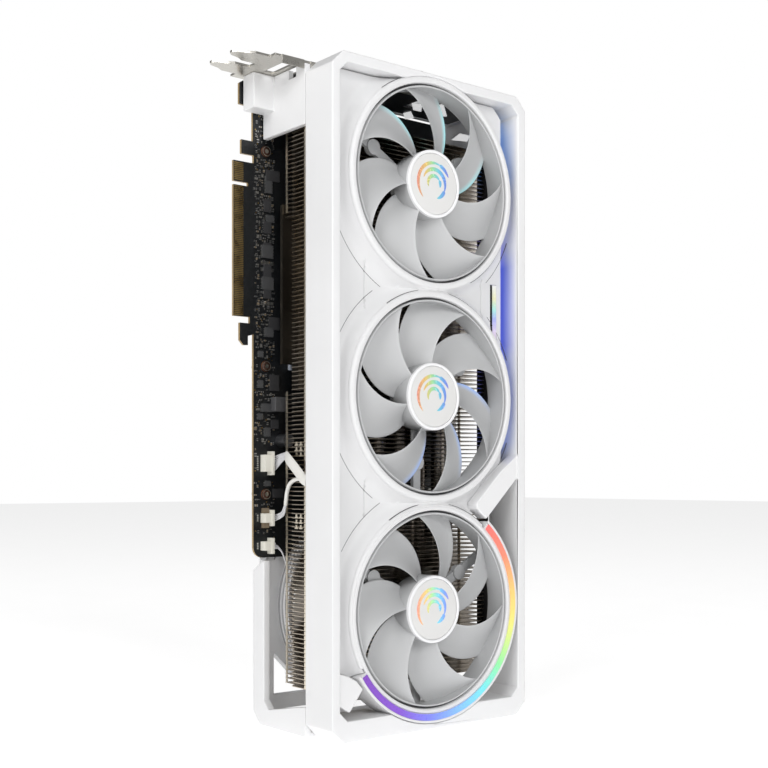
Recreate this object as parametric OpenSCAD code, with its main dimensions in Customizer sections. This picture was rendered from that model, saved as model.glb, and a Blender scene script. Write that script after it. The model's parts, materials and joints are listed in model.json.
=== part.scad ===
// Quad-fan graphics card, standing on its tail end.
// +Z runs from the tail end to the bracket end. The front fans face -Y and the backplate faces +Y.
// The edge connector is on the -X side and the power socket is on the +X side.
// The origin is the centre of the tail end's footprint.
// Inside placed(), y is the depth behind the front rim.

/* [Card] */
// Length from the tail end to the outer face of the bracket
card_length = 357.6; // [357:0.1:358]
// Width from the connector side face to the socket side face
card_width = 139; // [138.8:0.1:139.2]
// Thickness from the front rim to the rearmost screw heads
card_thickness = 76; // [75.8:0.1:76.2]

/* [Front frame] */
// Depth of the front frame's rails
rail_depth = 24.3; // [23:0.1:24.4]
// Thickness of the rail on the connector side
left_rail = 5.2; // [4:0.1:5.3]
// Thickness of the rail on the socket side
right_rail = 6; // [5:0.1:6.2]
// Height of the bar across the tail end
tail_bar = 11; // [8:0.5:12]
// Height of the bar across the bracket end
bracket_bar = 5.4; // [4:0.1:5.6]
// Cut across the frame's outer corners
corner_cut = 7; // [3:0.5:8]

/* [Fans] */
// Distance between neighbouring front fans
fan_pitch = 116.7; // [116.4:0.1:117]
// Height of the tail fan's axis above the tail end
tail_fan_z = 65; // [64.8:0.1:65.2]
// Sideways place of the fan axes
fan_x = 1; // [0.8:0.1:1.2]
// Blades on each rotor
blade_count = 7; // [5:1:9]
// Outer radius of the rotor's rim ring
rotor_r = 53.6; // [53:0.1:53.8]
// Radius of the hub
hub_r = 18.5; // [17.5:0.1:19]
// Radius of the motor shaft
shaft_r = 1.5; // [1:0.1:1.8]
// Radial gap between shaft and bearing
running_gap = 0.04; // [0.02:0.01:0.08]
// Radius of the round tunnel that each rotor turns in
tunnel_r = 54.3; // [54.1:0.1:54.6]

/* [Cooler] */
// Distance between neighbouring fins
fin_pitch = 2.4; // [2.2:0.1:3]
// Sheet thickness of a fin
fin_sheet = 0.4; // [0.3:0.05:0.6]
// Radius of a heat pipe
pipe_r = 4; // [3:0.5:4]
// Number of heat pipes
pipe_count = 7; // [5:1:8]

/* [Circuit board] */
// Depth of the board's component side behind the front rim
board_depth = 65.8; // [65.7:0.05:65.9]
// Thickness of the board
board_sheet = 1.6; // [1.5:0.1:1.6]
// Length of the long row of edge contacts
long_contacts = 71.65; // [71.65:0.01:71.65]
// Length of the short row of edge contacts
short_contacts = 11.65; // [11.65:0.01:11.65]
// Reach of the contact edge beyond the side face
contact_reach = 18.5; // [18:0.1:19]

/* [Bracket] */
// Distance between neighbouring expansion slots
slot_pitch = 20.32; // [20.32:0.01:20.32]
// Sheet thickness of the bracket
bracket_sheet = 1.2; // [0.8:0.1:1.2]
// Height of the screw tab's seat above the contact edge
tab_height = 100.36; // [100.36:0.01:100.36]
// Reach of the bracket's tails below the contact edge
tail_reach = 19.66; // [19:0.01:20]
// Travel of the firmware switch's lever
switch_travel = 2; // [1:0.5:2]

/* [Hidden] */
$fn = 96;
side_x = card_width / 2;
white = [0.92, 0.92, 0.93];
fan_grey = [0.80, 0.81, 0.82];
steel = [0.72, 0.70, 0.66];
gold = [0.80, 0.62, 0.28];
board_black = [0.06, 0.06, 0.07];
chip_black = [0.10, 0.10, 0.11];
copper = [0.72, 0.42, 0.28];
cream = [0.90, 0.89, 0.84];

// Fan 1 is at the bracket end, fan 3 at the tail end and fan 4 behind fan 3.
fan_z = [tail_fan_z + 2 * fan_pitch, tail_fan_z + fan_pitch, tail_fan_z, tail_fan_z];
fan_phase = [238, 217, 228, 200];
fan_hand = [1, -1, 1, 1];
fan_rear = [false, false, false, true];
rear_mirror_depth = card_thickness + 0.2;

hub_front = 1.7;
cap_sheet = 1;
cap_inset = 0.2;
hub_plate = 1.8;
hub_wall = 1.8;
hub_back = 15.5;
ring_front = 1.2;
ring_back = 14.5;
ring_wall = 1.2;
magnet_wall = 1.8;
magnet_front = 6;
magnet_back = 14.4;
boss_r = 3.3;
boss_back = 8;
bearing_wall = 1.5;
bearing_front = 8.6;
bearing_back = 18;
base_front = 16.6;
base_back = 19;
tube_wall = 1.6;
stator_front = 7.6;
stator_back = 13.8;
stator_r = hub_r - hub_wall - magnet_wall - 0.6;
tooth_count = 9;
arm_count = 3;
arm_width = 5;

shroud_depth = 9.2;
shroud_sheet = 2;
shroud_left = -side_x + left_rail + 0.7;
shroud_right = 58.3;
shroud_top = card_length - bracket_bar - 0.8;
badge_z = [212.9, 248.6];
bezel_front = 0.6;
bezel_r = tunnel_r + 3;
bezel_foot = [[bezel_r, bezel_front], [bezel_r + 1.6, 2.2], [bezel_r + 3.4, 4.9],
              [bezel_r + 5.6, 7.4], [bezel_r + 8.4, shroud_depth + 0.1],
              [bezel_r + 8.4, shroud_depth + 0.5]];
housing_r = 61.9;
light_in_r = 57;
light_out_r = 60.5;
light_from = -148;
light_to = 50;

contact_x = -side_x - contact_reach;
board_left = -75.2;
board_right = 58;
board_bottom = 93;
board_corner = 5.6;
board_top = 354.6;
board_cut_r = 60;
board_back = board_depth + board_sheet;
notch_top = 299;
notch_width = 1.9;
contacts_top = notch_top + short_contacts - 0.35;
contacts_bottom = notch_top - notch_width - long_contacts;
board_screw_z = [318, 199, 128];
board_screw_x = [-67.2, 52];
gpu_x = -2;
gpu_z = 232;
gpu_hole_span = 76;

fin_front = 22.5;
fin_back = 57;
fin_back_over_gpu = 47.4;
fin_low_z = 24;
fin_high_z = 330;
pipe_depth = 52;
pipe_span = 92;
plate_front = pipe_depth + pipe_r;
plate_back = 62.3;
plate_half_z = 46;
plate_half_x = 50;
flange_x = -61.6;
flange_depth = 57.4;

backplate_front = 73.2;
backplate_back = 74.8;
back_face = card_thickness - 0.4;
bracket_front = 25;
bracket_back = 69;
bracket_low = card_length - bracket_sheet;
tail_depths = [36.3, 36.3 + slot_pitch];
tail_tip_x = contact_x - tail_reach;
tab_x = contact_x + tab_height;
tab_top = card_length + 11.4;
socket_z = [103, 125];
eps = 0.01;

FAN_PARTS = ["rotor", "cap", "magnet", "shaft", "motor_base"];
SHROUD_PARTS = ["front_shroud_bracket_end", "front_shroud_middle", "front_shroud_tail"];

// Depth coordinates to the card's own frame.
module placed() {
    translate([0, -card_thickness / 2, 0]) children();
}

// Extrudes an outline of (x, z) between two depths.
module front_slab(d0, d1) {
    translate([0, d1, 0]) rotate([90, 0, 0]) linear_extrude(d1 - d0) children();
}

// Extrudes an outline of (depth, z) between two values of x.
module side_slab(x0, x1) {
    translate([x0, 0, 0]) rotate([90, 0, 90]) linear_extrude(x1 - x0) children();
}

// Extrudes an outline of (x, depth) between two heights.
module length_slab(z0, z1) {
    translate([0, 0, z0]) linear_extrude(z1 - z0) children();
}

// Turns a shape drawn along +Z so that it runs backwards along the axis of a fan at height z.
module on_fan_axis(z) {
    translate([fan_x, 0, z]) rotate([-90, 0, 0]) children();
}

// Moves a fan part drawn for a front fan at z = 0 to the place of fan k.
module at_fan(k) {
    if (fan_rear[k - 1]) {
        translate([fan_x, rear_mirror_depth, fan_z[k - 1]]) mirror([0, 1, 0]) children();
    } else {
        translate([fan_x, 0, fan_z[k - 1]]) children();
    }
}

module block(x0, x1, d0, d1, z0, z1) {
    translate([x0, d0, z0]) cube([x1 - x0, d1 - d0, z1 - z0]);
}

// A round bar along the depth direction.
module pin(x, z, r, d0, d1) {
    translate([x, d0, z]) rotate([-90, 0, 0]) cylinder(r = r, h = d1 - d0, $fn = 48);
}

module cut_corners(x0, x1, z0, z1, c) {
    polygon([[x0 + c, z0], [x1 - c, z0], [x1, z0 + c], [x1, z1 - c],
             [x1 - c, z1], [x0 + c, z1], [x0, z1 - c], [x0, z0 + c]]);
}

module sector(r_in, r_out, a0, a1) {
    steps = 12;
    intersection() {
        difference() {
            circle(r = r_out);
            circle(r = r_in);
        }
        polygon(concat([[0, 0]], [for (i = [0:steps])
            let (a = a0 + (a1 - a0) * i / steps) 2 * r_out * [cos(a), sin(a)]]));
    }
}

// ---------------------------------------------------------------- fans

blade_in_r = hub_r - 0.9;
blade_out_r = rotor_r - ring_wall / 2;
blade_rows = 5;
blade_cols = 5;
blade_root_lead = 3.2;
blade_tip_lead = 2.6;
blade_root_trail = 14.6;
blade_tip_trail = 12.6;

// Angle of the leading edge beyond its root, for a fraction t of the way to the rim.
function lead_angle(t) = 17 * t + 12 * t * t;
// Angle of the trailing edge from the leading edge's root.
function trail_angle(t) = -40 + 25 * t + 9 * t * t;
function blend(a, b, s) = a + (b - a) * s;
// The blade dives fast behind its leading edge and levels out towards its trailing edge.
function blade_depth(t, s) =
    blend(blend(blade_root_lead, blade_tip_lead, t), blend(blade_root_trail, blade_tip_trail, t),
          s + 0.22 * sin(180 * s));
function blade_half(s) = 0.35 + 0.45 * sin(180 * min(1, s * 1.15));

function blade_point(t, s, side, phase, hand) =
    let (r = blend(blade_in_r, blade_out_r, t),
         a = hand * (phase + blend(lead_angle(t), trail_angle(t), s)))
    [r * cos(a), blade_depth(t, s) + side * blade_half(s), r * sin(a)];

// A closed twisted sheet with its ends inside the hub's wall and the rim ring's wall.
module blade(phase, hand) {
    loop = 2 * (blade_cols + 1);
    points = [for (i = [0:blade_rows]) each concat(
        [for (j = [0:blade_cols]) blade_point(i / blade_rows, j / blade_cols, -1, phase, hand)],
        [for (j = [blade_cols:-1:0]) blade_point(i / blade_rows, j / blade_cols, 1, phase, hand)])];
    skin = [for (i = [0:blade_rows - 1]) for (j = [0:loop - 1])
        let (a = i * loop + j, b = i * loop + (j + 1) % loop)
        each [[a, b, b + loop], [a, b + loop, a + loop]]];
    root = [for (j = [0:blade_cols - 1])
        each [[j, loop - 1 - j, j + 1], [j + 1, loop - 1 - j, loop - 2 - j]]];
    tip_base = blade_rows * loop;
    tip = [for (f = root) [f[0] + tip_base, f[2] + tip_base, f[1] + tip_base]];
    faces = concat(skin, root, tip);
    flipped = [for (f = faces) [f[0], f[2], f[1]]];
    polyhedron(points, hand > 0 ? flipped : faces);
}

// Turns a (radius, depth) outline about a fan's axis at z = 0.
module spun() {
    mirror([0, 0, 1]) rotate([90, 0, 0]) mirror([0, 0, 1]) rotate_extrude() children();
}

module rotor(k) {
    plate_front_depth = hub_front + cap_inset + cap_sheet;
    plate_back_depth = plate_front_depth + hub_plate;
    union() {
        spun() polygon([
            [shaft_r, plate_front_depth], [hub_r - 1.6, plate_front_depth],
            [hub_r - 1.6, hub_front + 0.4], [hub_r - 1.2, hub_front], [hub_r - 0.6, hub_front],
            [hub_r, hub_front + 0.6], [hub_r, hub_back], [hub_r - hub_wall, hub_back],
            [hub_r - hub_wall, plate_back_depth], [boss_r, plate_back_depth],
            [boss_r, boss_back], [shaft_r, boss_back]]);
        spun() polygon([
            [rotor_r - ring_wall, ring_front + 0.5], [rotor_r - ring_wall / 2, ring_front],
            [rotor_r, ring_front + 0.5], [rotor_r, ring_back], [rotor_r - ring_wall, ring_back]]);
        for (i = [0:blade_count - 1])
            blade(fan_phase[k - 1] + i * 360 / blade_count, fan_hand[k - 1]);
    }
}

module fan_rotor(k) {
    color(fan_grey) placed() at_fan(k) rotor(k);
}

module fan_cap(k) {
    color(white) placed() at_fan(k)
        pin(0, 0, hub_r - 1.7, hub_front + cap_inset, hub_front + cap_inset + cap_sheet);
}

module fan_magnet(k) {
    outer = hub_r - hub_wall;
    color([0.2, 0.2, 0.22]) placed() at_fan(k) difference() {
        pin(0, 0, outer, magnet_front, magnet_back);
        pin(0, 0, outer - magnet_wall, magnet_front - 1, magnet_back + 1);
    }
}

module fan_shaft(k) {
    color([0.75, 0.76, 0.78]) placed() at_fan(k)
        pin(0, 0, shaft_r, hub_front + cap_inset + cap_sheet, bearing_back - 0.5);
}

bearing_r = shaft_r + running_gap + bearing_wall;
arm_angles = [for (i = [0:arm_count - 1]) 30 + i * 360 / arm_count];
screw_ring_r = 55.5;
screw_r = 0.9;
screw_head_r = 1.8;
screw_head = 1;
boss_ring_r = 36;
arm_boss_r = 4.2;
screw_front = 12;

// Countersunk holes where each arm is screwed to the back of the tunnel wall.
module arm_screw_holes() {
    for (a = arm_angles) {
        x = screw_ring_r * cos(a);
        z = screw_ring_r * sin(a);
        pin(x, z, screw_r, screw_front, base_back + 2);
        pin(x, z, screw_head_r, base_back - screw_head, base_back + 2);
    }
}

module fan_screws() {
    color(steel) placed() for (k = [1:4]) at_fan(k) for (a = arm_angles) {
        x = screw_ring_r * cos(a);
        z = screw_ring_r * sin(a);
        pin(x, z, screw_r, screw_front, base_back - screw_head);
        pin(x, z, screw_head_r, base_back - screw_head, base_back);
    }
}

module fan_motor_base(k) {
    color(fan_grey) placed() at_fan(k) difference() {
        union() {
            pin(0, 0, hub_r - 1, base_front, base_back);
            pin(0, 0, bearing_r + tube_wall, bearing_front + 0.4, base_back);
            for (a = arm_angles) rotate([0, -a, 0]) {
                block(hub_r - 3, screw_ring_r + 2.8, base_front, base_back,
                      -arm_width / 2, arm_width / 2);
                pin(boss_ring_r, 0, arm_boss_r, base_front - 1, base_back);
            }
        }
        pin(0, 0, bearing_r, 0, bearing_back);
        arm_screw_holes();
    }
}

module stator() {
    root_r = bearing_r + tube_wall;
    front_slab(stator_front, stator_back) difference() {
        union() {
            circle(r = root_r + 2);
            for (i = [0:tooth_count - 1]) rotate(i * 360 / tooth_count) {
                translate([root_r, -1.2]) square([stator_r - root_r - 1, 2.4]);
                sector(stator_r - 1.6, stator_r, -15, 15);
            }
        }
        circle(r = root_r);
    }
}

module fan_stators() {
    color(copper) placed() for (k = [1:4]) at_fan(k) stator();
}

module fan_bearings() {
    color(gold) placed() for (k = [1:4]) at_fan(k) difference() {
        pin(0, 0, bearing_r, bearing_front, bearing_back - 0.3);
        pin(0, 0, shaft_r + running_gap, bearing_front - 1, bearing_back);
    }
}

// ---------------------------------------------------------------- outer shell

strut_front = 0.8;
strut_back = 9;

// The two slanting struts that hold the tail fan's ring in the frame.
module strut_outlines() {
    polygon([[64.5, 150.8], [50.7, 140.7], [31.8, 122.8], [32.5, 119.5], [38.9, 113.3], [64.5, 137.8]]);
    polygon([[-65.5, 36.5], [-58.2, 34.1], [-53, 31.2], [-48.9, 26.6], [-57.8, 15.1], [-65.5, 20]]);
}

module front_frame() {
    color(white) placed() difference() {
        union() {
            front_slab(0, rail_depth) difference() {
                cut_corners(-side_x, side_x, 0, card_length, corner_cut);
                cut_corners(-side_x + left_rail, side_x - right_rail, tail_bar,
                            card_length - bracket_bar, 5);
            }
            front_slab(strut_front, strut_back) strut_outlines();
        }
        on_fan_axis(fan_z[0]) cylinder(r = bezel_r + 0.4, h = 60, center = true);
        on_fan_axis(fan_z[2]) cylinder(r = housing_r + 0.3, h = 60, center = true);
    }
}

module shroud_outline() {
    polygon([[shroud_left, 37], [shroud_left, shroud_top - 6], [shroud_left + 6, shroud_top],
             [shroud_right - 6, shroud_top], [shroud_right, shroud_top - 6], [shroud_right, 143],
             [54.4, 138.4], [33.6, 119.4], [fan_x, tail_fan_z], [-52.6, 32.4], [-58, 34.8]]);
}

// The face plate, the sloping bezels and the round tunnels that the rotors turn in.
// The shroud is parted halfway between the fans. Part 0 is at the bracket end.
shroud_cuts = [card_length, tail_fan_z + 1.5 * fan_pitch, tail_fan_z + 0.5 * fan_pitch, 0];

module front_shroud(part) {
    color(white) placed() intersection() {
        block(-side_x, side_x, 0, rail_depth, shroud_cuts[part + 1], shroud_cuts[part]);
        whole_shroud();
    }
}

module whole_shroud() {
    difference() {
        union() {
            front_slab(shroud_depth, shroud_depth + shroud_sheet) shroud_outline();
            intersection() {
                front_slab(0, shroud_depth + shroud_sheet) shroud_outline();
                for (k = [0:2]) on_fan_axis(fan_z[k]) rotate_extrude() polygon(
                    concat([[0, shroud_depth + 0.5], [0, bezel_front]], bezel_foot));
            }
            for (k = [0:2]) on_fan_axis(fan_z[k]) translate([0, 0, bezel_front])
                cylinder(r = k == 2 ? light_in_r - 0.3 : bezel_r, h = base_front - bezel_front);
        }
        for (k = [0:2]) on_fan_axis(fan_z[k]) cylinder(r = tunnel_r, h = 100, center = true);
        for (k = [1:3]) at_fan(k) arm_screw_holes();
        // room for the ring light and its housing
        front_slab(-1, base_front + 1) translate([fan_x, tail_fan_z])
            sector(light_in_r - 0.3, housing_r + 6, light_from - 3, light_to + 2);
        // clearance under the struts
        front_slab(-1, strut_back + 0.1) offset(0.3) strut_outlines();
        // shallow accent slot and the badge's pocket
        block(-54, -36, shroud_depth - 1, shroud_depth + 0.5, 341.5, 344);
        block(50, 55, shroud_depth - 1, shroud_depth + 0.6, badge_z[0] - 0.3, badge_z[1] + 0.3);
    }
}

module badge_strip() {
    color([0.6, 0.7, 0.95]) placed() {
        block(50.2, 51.4, shroud_depth - 0.1, shroud_depth + 0.6, badge_z[0], badge_z[1]);
        block(51.8, 54.8, shroud_depth - 0.1, shroud_depth + 0.6, badge_z[0], badge_z[1]);
    }
}

light_floor = 0.8;

// White housing with a raised border on each side of the diffuser's channel.
module ring_light_housing() {
    color(white) placed() difference() {
        front_slab(0, base_front) translate([fan_x, tail_fan_z])
            sector(light_in_r - 0.2, housing_r, light_from, light_to);
        front_slab(-1, light_floor) translate([fan_x, tail_fan_z])
            sector(light_in_r - 0.5, light_out_r, light_from - 5, light_to + 5);
    }
}

// The arc-shaped diffuser lies in the housing's channel.
module ring_light() {
    color([0.55, 0.6, 0.95]) placed() front_slab(0.1, light_floor) translate([fan_x, tail_fan_z])
        sector(light_in_r, light_out_r - 0.1, light_from + 1, light_to - 1);
}

module channel_light() {
    color([0.45, 0.5, 0.95]) placed()
        block(shroud_right + 0.4, side_x - right_rail - 0.3, 15, 17, 156, 346);
}

cover_low = 324;
cover_sheet = 3.5;

// The bracket end's side panels and closing strip, with a hollow block over the first socket.
module bracket_end_cover() {
    color(white) placed() {
        difference() {
            union() {
                block(-side_x, -side_x + cover_sheet, rail_depth + 0.1, board_depth - 0.8,
                      cover_low, bracket_low - 0.1);
                block(-82.4, -side_x + 1, 54, board_depth - 0.8, 337.4, bracket_low - 0.1);
            }
            block(-81, -60, 55.6, card_thickness, 339, card_length);
            block(-side_x - 1, -side_x + cover_sheet + 1, 33, 40, 351, card_length);
        }
        block(side_x - cover_sheet, side_x, rail_depth + 0.1, backplate_front, cover_low, card_length);
        difference() {
            block(tab_x + 2.2, side_x - cover_sheet + eps, rail_depth + 0.1, board_depth - 0.8,
                  card_length - 2.5, card_length);
            for (i = [0:6]) block(tab_x + 8, side_x - 10, 29 + i * 5, 31.6 + i * 5,
                                  card_length - 4, card_length + 1);
        }
    }
}

// Side outline of the tail cage: a low bar with a slanting top and a post at the back.
module tail_side_outline() {
    polygon([[rail_depth + 0.1, 0], [back_face - corner_cut, 0], [back_face, corner_cut],
             [back_face, 85], [66, 91.2], [64.3, 91.2], [64.3, 14], [59.7, 9.6],
             [rail_depth + 0.1, 16.2]]);
}

module tail_frame() {
    side_sheet = 4.4;
    color(white) placed() {
        side_slab(-side_x, -side_x + side_sheet) tail_side_outline();
        side_slab(side_x - side_sheet, side_x) tail_side_outline();
        difference() {
            block(-side_x + side_sheet - eps, side_x - side_sheet + eps, rail_depth + 0.1,
                  back_face - corner_cut, 0, 2.6);
            for (i = [0:4]) for (s = [-1, 1])
                block(s * 36 - 22, s * 36 + 22, 29 + i * 8, 33 + i * 8, -1, 4);
        }
    }
}

rail_gap = 3;

// The back rail of the socket side, open where the power plug goes in.
module socket_side_rail() {
    color(white) placed() difference() {
        block(side_x - 4.4, side_x, 60, backplate_front, 91.6, cover_low - 0.1);
        block(side_x - 10, side_x + 1, 50, board_depth + 4, socket_z[0] - rail_gap,
              socket_z[1] + rail_gap);
        block(side_x - 10, side_x + 1, 50, board_depth + 4, 255, 273);
    }
}

rear_panel_front = 70;

// The back panel of the tail end with the rear rotor's tunnel and four open corners.
module rear_fan_shroud() {
    inner_x = side_x - 4.5;
    tunnel_front = rear_mirror_depth - base_front;
    color(white) placed() difference() {
        union() {
            front_slab(rear_panel_front, back_face) difference() {
                polygon([[-inner_x, corner_cut], [inner_x, corner_cut], [inner_x, 91],
                         [44, 112], [-42, 112], [-inner_x, 91]]);
                for (sx = [-1, 1]) for (sz = [-1, 1])
                    translate([fan_x, tail_fan_z]) polygon([[sx * 60, sz * 26], [sx * 60, sz * 50],
                                                            [sx * 36, sz * 50]]);
            }
            on_fan_axis(tail_fan_z) translate([0, 0, tunnel_front])
                cylinder(r = bezel_r, h = back_face - tunnel_front);
        }
        on_fan_axis(tail_fan_z) cylinder(r = tunnel_r, h = 200, center = true);
        at_fan(4) arm_screw_holes();
    }
}

window = 33;

// The metal back cover, open behind the processor and at the rear fan.
module backplate() {
    color(white) placed() difference() {
        front_slab(backplate_front, backplate_back) difference() {
            cut_corners(-side_x, side_x, 91.6, bracket_low - 0.2, 4);
            translate([fan_x, tail_fan_z]) circle(r = bezel_r + 0.4);
            polygon([[-65, 91], [65, 91], [44.3, 112.4], [-42.3, 112.4]]);
            translate([gpu_x, gpu_z]) cut_corners(-window, window, -window, window, 8);
            for (i = [0:8]) translate([-30 + i * 8, 290]) rotate(-25) square([3, 34]);
        }
        for (x = board_screw_x) for (z = board_screw_z) pin(x, z, 1.7, 70, 80);
    }
}

// ---------------------------------------------------------------- board

module board_outline() {
    long_low = contacts_bottom;
    notch_low = notch_top - notch_width;
    difference() {
        polygon(concat(
            [for (a = [270:-22.5:180]) [board_left + board_corner * (1 + cos(a)),
                                        board_bottom + board_corner * (1 + sin(a))]],
                [[board_left, 216], [-78.7, 215],
                 [-78.7, 210], [-81.6, 209.8], [-84, 212.4], [-84, 222], [-77.6, 222],
                 [-77.6, long_low], [contact_x, long_low], [contact_x, notch_low],
                 [-78.7, notch_low], [-78.7, notch_top], [contact_x, notch_top],
                 [contact_x, contacts_top], [-75, contacts_top], [-75, contacts_top + 4.3],
                 [-83, contacts_top + 4.3], [-83, contacts_top + 12], [-75.6, contacts_top + 12],
                 [-75.6, 341], [-84.3, 341.5], [-84.3, 353], [-82, board_top],
                 [board_right, board_top], [board_right, board_bottom]]));
        translate([fan_x, tail_fan_z]) circle(r = board_cut_r);
    }
}

module circuit_board() {
    color(board_black) placed() difference() {
        front_slab(board_depth, board_back) board_outline();
        for (x = board_screw_x) for (z = board_screw_z) pin(x, z, 1.7, 60, 70);
        for (sx = [-1, 1]) for (sz = [-1, 1])
            pin(gpu_x + sx * gpu_hole_span / 2, gpu_z + sz * gpu_hole_span / 2, 1.7, 60, 70);
    }
}

contact_width = 0.7;
contact_sheet = 0.08;

module contact_row(low, high) {
    count = floor((high - low - 0.6) / 1);
    start = (low + high - (count - 1)) / 2;
    for (i = [0:count - 1]) for (d = [board_depth - contact_sheet, board_back])
        block(contact_x + 0.5, contact_x + 6.3, d, d + contact_sheet,
              start + i - contact_width / 2, start + i + contact_width / 2);
}

module edge_contacts() {
    color(gold) placed() {
        contact_row(contacts_bottom, notch_top - notch_width);
        contact_row(notch_top, contacts_top);
    }
}

module chip(x, z, w, h, tall) {
    block(x - w / 2, x + w / 2, board_depth - tall, board_depth, z - h / 2, z + h / 2);
}

package_tall = 2.7;
die_tall = 0.8;

module gpu_package() {
    color([0.15, 0.3, 0.2]) placed() chip(gpu_x, gpu_z, 56, 56, package_tall);
}

module gpu_die() {
    color([0.35, 0.37, 0.42]) placed()
        block(gpu_x - 15, gpu_x + 15, board_depth - package_tall - die_tall,
              board_depth - package_tall, gpu_z - 12, gpu_z + 12);
}

memory_tall = 1.1;
memory_places = concat(
    [for (i = [-2:2]) for (s = [-1, 1]) [gpu_x + s * 45, gpu_z + i * 14, 12, 13]],
    [for (i = [-1:1]) for (s = [-1, 1]) [gpu_x + i * 16, gpu_z + s * 37, 14, 12]]);

module memory_chips() {
    color(chip_black) placed() for (p = memory_places)
        chip(p[0], p[1], p[2], p[3], memory_tall);
}

module thermal_pads() {
    color([0.6, 0.65, 0.7]) placed() for (p = memory_places)
        block(p[0] - p[2] / 2, p[0] + p[2] / 2, plate_back, board_depth - memory_tall,
              p[1] - p[3] / 2, p[1] + p[3] / 2);
}

choke_columns = [-30, -10, 10, 30, 50];
choke_rows = [142, 156, 170];

module chokes() {
    color([0.22, 0.22, 0.23]) placed() {
        for (x = choke_columns) for (z = choke_rows) chip(x, z, 9, 9, 5);
        chip(-60, 178, 8, 8, 5);
    }
}

module power_stages() {
    color(chip_black) placed() {
        for (i = [1:4]) for (z = choke_rows) chip(choke_columns[i] - 9, z, 5, 7, 0.9);
        for (i = [0:4]) chip(-66.5, 240 + i * 12, 5, 7, 0.9);
    }
}

module capacitors() {
    color([0.25, 0.25, 0.27]) placed() {
        for (i = [0:5]) pin(-42 + i * 18, 180.2, 3.4, board_depth - 7.6, board_depth);
        pin(-57, 158, 3.6, board_depth - 7.8, board_depth);
        for (i = [0:4]) pin(-30 + i * 14, 296, 3.1, board_depth - 6, board_depth);
    }
}

module controller_chips() {
    color(chip_black) placed() {
        chip(-62, 223, 7, 7, 1);
        chip(-63, 305, 9, 6, 1.2);
        chip(-62, 190, 6, 9, 1.2);
        chip(20, 312, 12, 12, 1.2);
        chip(-20, 318, 8, 8, 1);
        chip(-59.5, 128.5, 7, 5, 1.1);
        chip(-61.5, 167, 5, 5, 0.9);
        chip(25, 131, 7, 7, 1);
    }
}

// ---------------------------------------------------------------- cooler

function pipe_x(i) = fan_x - pipe_span / 2 + pipe_span * i / (pipe_count - 1);

module fin_outline(back, holes) {
    difference() {
        polygon([[-64.5, fin_front], [57.5, fin_front], [57.5, back], [-60, back],
                 [-60, min(back, 48)], [-64.5, min(back, 44)]]);
        if (holes) for (i = [0:pipe_count - 1])
            translate([pipe_x(i), pipe_depth]) circle(r = pipe_r, $fn = 32);
    }
}

module fin_stack() {
    count = floor((fin_high_z - fin_low_z) / fin_pitch);
    color(steel) placed() for (i = [0:count]) {
        z = fin_low_z + i * fin_pitch;
        over_gpu = abs(z - gpu_z) < plate_half_z + fin_pitch;
        length_slab(z, z + fin_sheet) fin_outline(over_gpu ? fin_back_over_gpu : fin_back, !over_gpu);
    }
}

module heat_pipes() {
    color(copper) placed() for (i = [0:pipe_count - 1])
        translate([pipe_x(i), pipe_depth, fin_low_z - 3])
            cylinder(r = pipe_r, h = fin_high_z - fin_low_z + 6, $fn = 48);
}

module cold_plate() {
    color([0.75, 0.75, 0.77]) placed() union() {
        block(gpu_x - plate_half_x, gpu_x + plate_half_x, plate_front, plate_back,
              gpu_z - plate_half_z, gpu_z + plate_half_z);
        block(flange_x, gpu_x - plate_half_x + 1, flange_depth, flange_depth + 2.2, 200, 288);
        for (sx = [-1, 1]) for (sz = [-1, 1])
            pin(gpu_x + sx * gpu_hole_span / 2, gpu_z + sz * gpu_hole_span / 2, 2.6,
                plate_back - 1, board_depth);
    }
}

// An X-shaped leaf spring behind the processor.
module retention_bracket() {
    arm = gpu_hole_span / sqrt(2);
    color(steel) placed() difference() {
        front_slab(69.4, 70.4) translate([gpu_x, gpu_z]) union() {
            for (a = [45, 135]) rotate(a) square([2 * arm, 7], center = true);
            for (a = [45:90:315]) rotate(a) translate([arm, 0]) circle(r = 4.4);
            circle(r = 12);
        }
        for (sx = [-1, 1]) for (sz = [-1, 1])
            pin(gpu_x + sx * gpu_hole_span / 2, gpu_z + sz * gpu_hole_span / 2, 1.6, 60, 80);
    }
}

module board_standoffs() {
    color(steel) placed() for (x = board_screw_x) for (z = board_screw_z) difference() {
        pin(x, z, 2.6, board_back, backplate_front);
        pin(x, z, 1.3, board_back - 1, backplate_front + 1);
    }
}

module board_screws() {
    color(steel) placed() {
        for (x = board_screw_x) for (z = board_screw_z) {
            pin(x, z, 1.3, board_back + 1, backplate_back);
            pin(x, z, 2.7, backplate_back, card_thickness);
            pin(x, z, 1.5, board_depth, board_back);
            pin(x, z, 2.7, board_depth - 1.2, board_depth);
        }
        for (sx = [-1, 1]) for (sz = [-1, 1]) {
            x = gpu_x + sx * gpu_hole_span / 2;
            z = gpu_z + sz * gpu_hole_span / 2;
            pin(x, z, 1.4, board_depth, 70.4);
            pin(x, z, 3, 70.4, 72);
        }
    }
}

// ---------------------------------------------------------------- bracket and sockets

module tail_outline(d) {
    polygon([[-84, d - 7], [-97, d - 7], [-100.5, d - 4.6], [tail_tip_x + 2, d - 3.2],
             [tail_tip_x, d - 1], [tail_tip_x, d + 1], [tail_tip_x + 2, d + 3.2],
             [-100.5, d + 4.6], [-97, d + 7], [-84, d + 7]]);
}

display_x = [-72, -53, -34];
hdmi_x = [-15, 4];
port_front = 57.6;
port_back = board_depth;
port_length = 17;
vent_count = 9;

module port_opening(x, half) {
    block(x - half, x + half, port_front - 0.3, port_back + 0.3, bracket_low - 1, card_length + 1);
}

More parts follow.
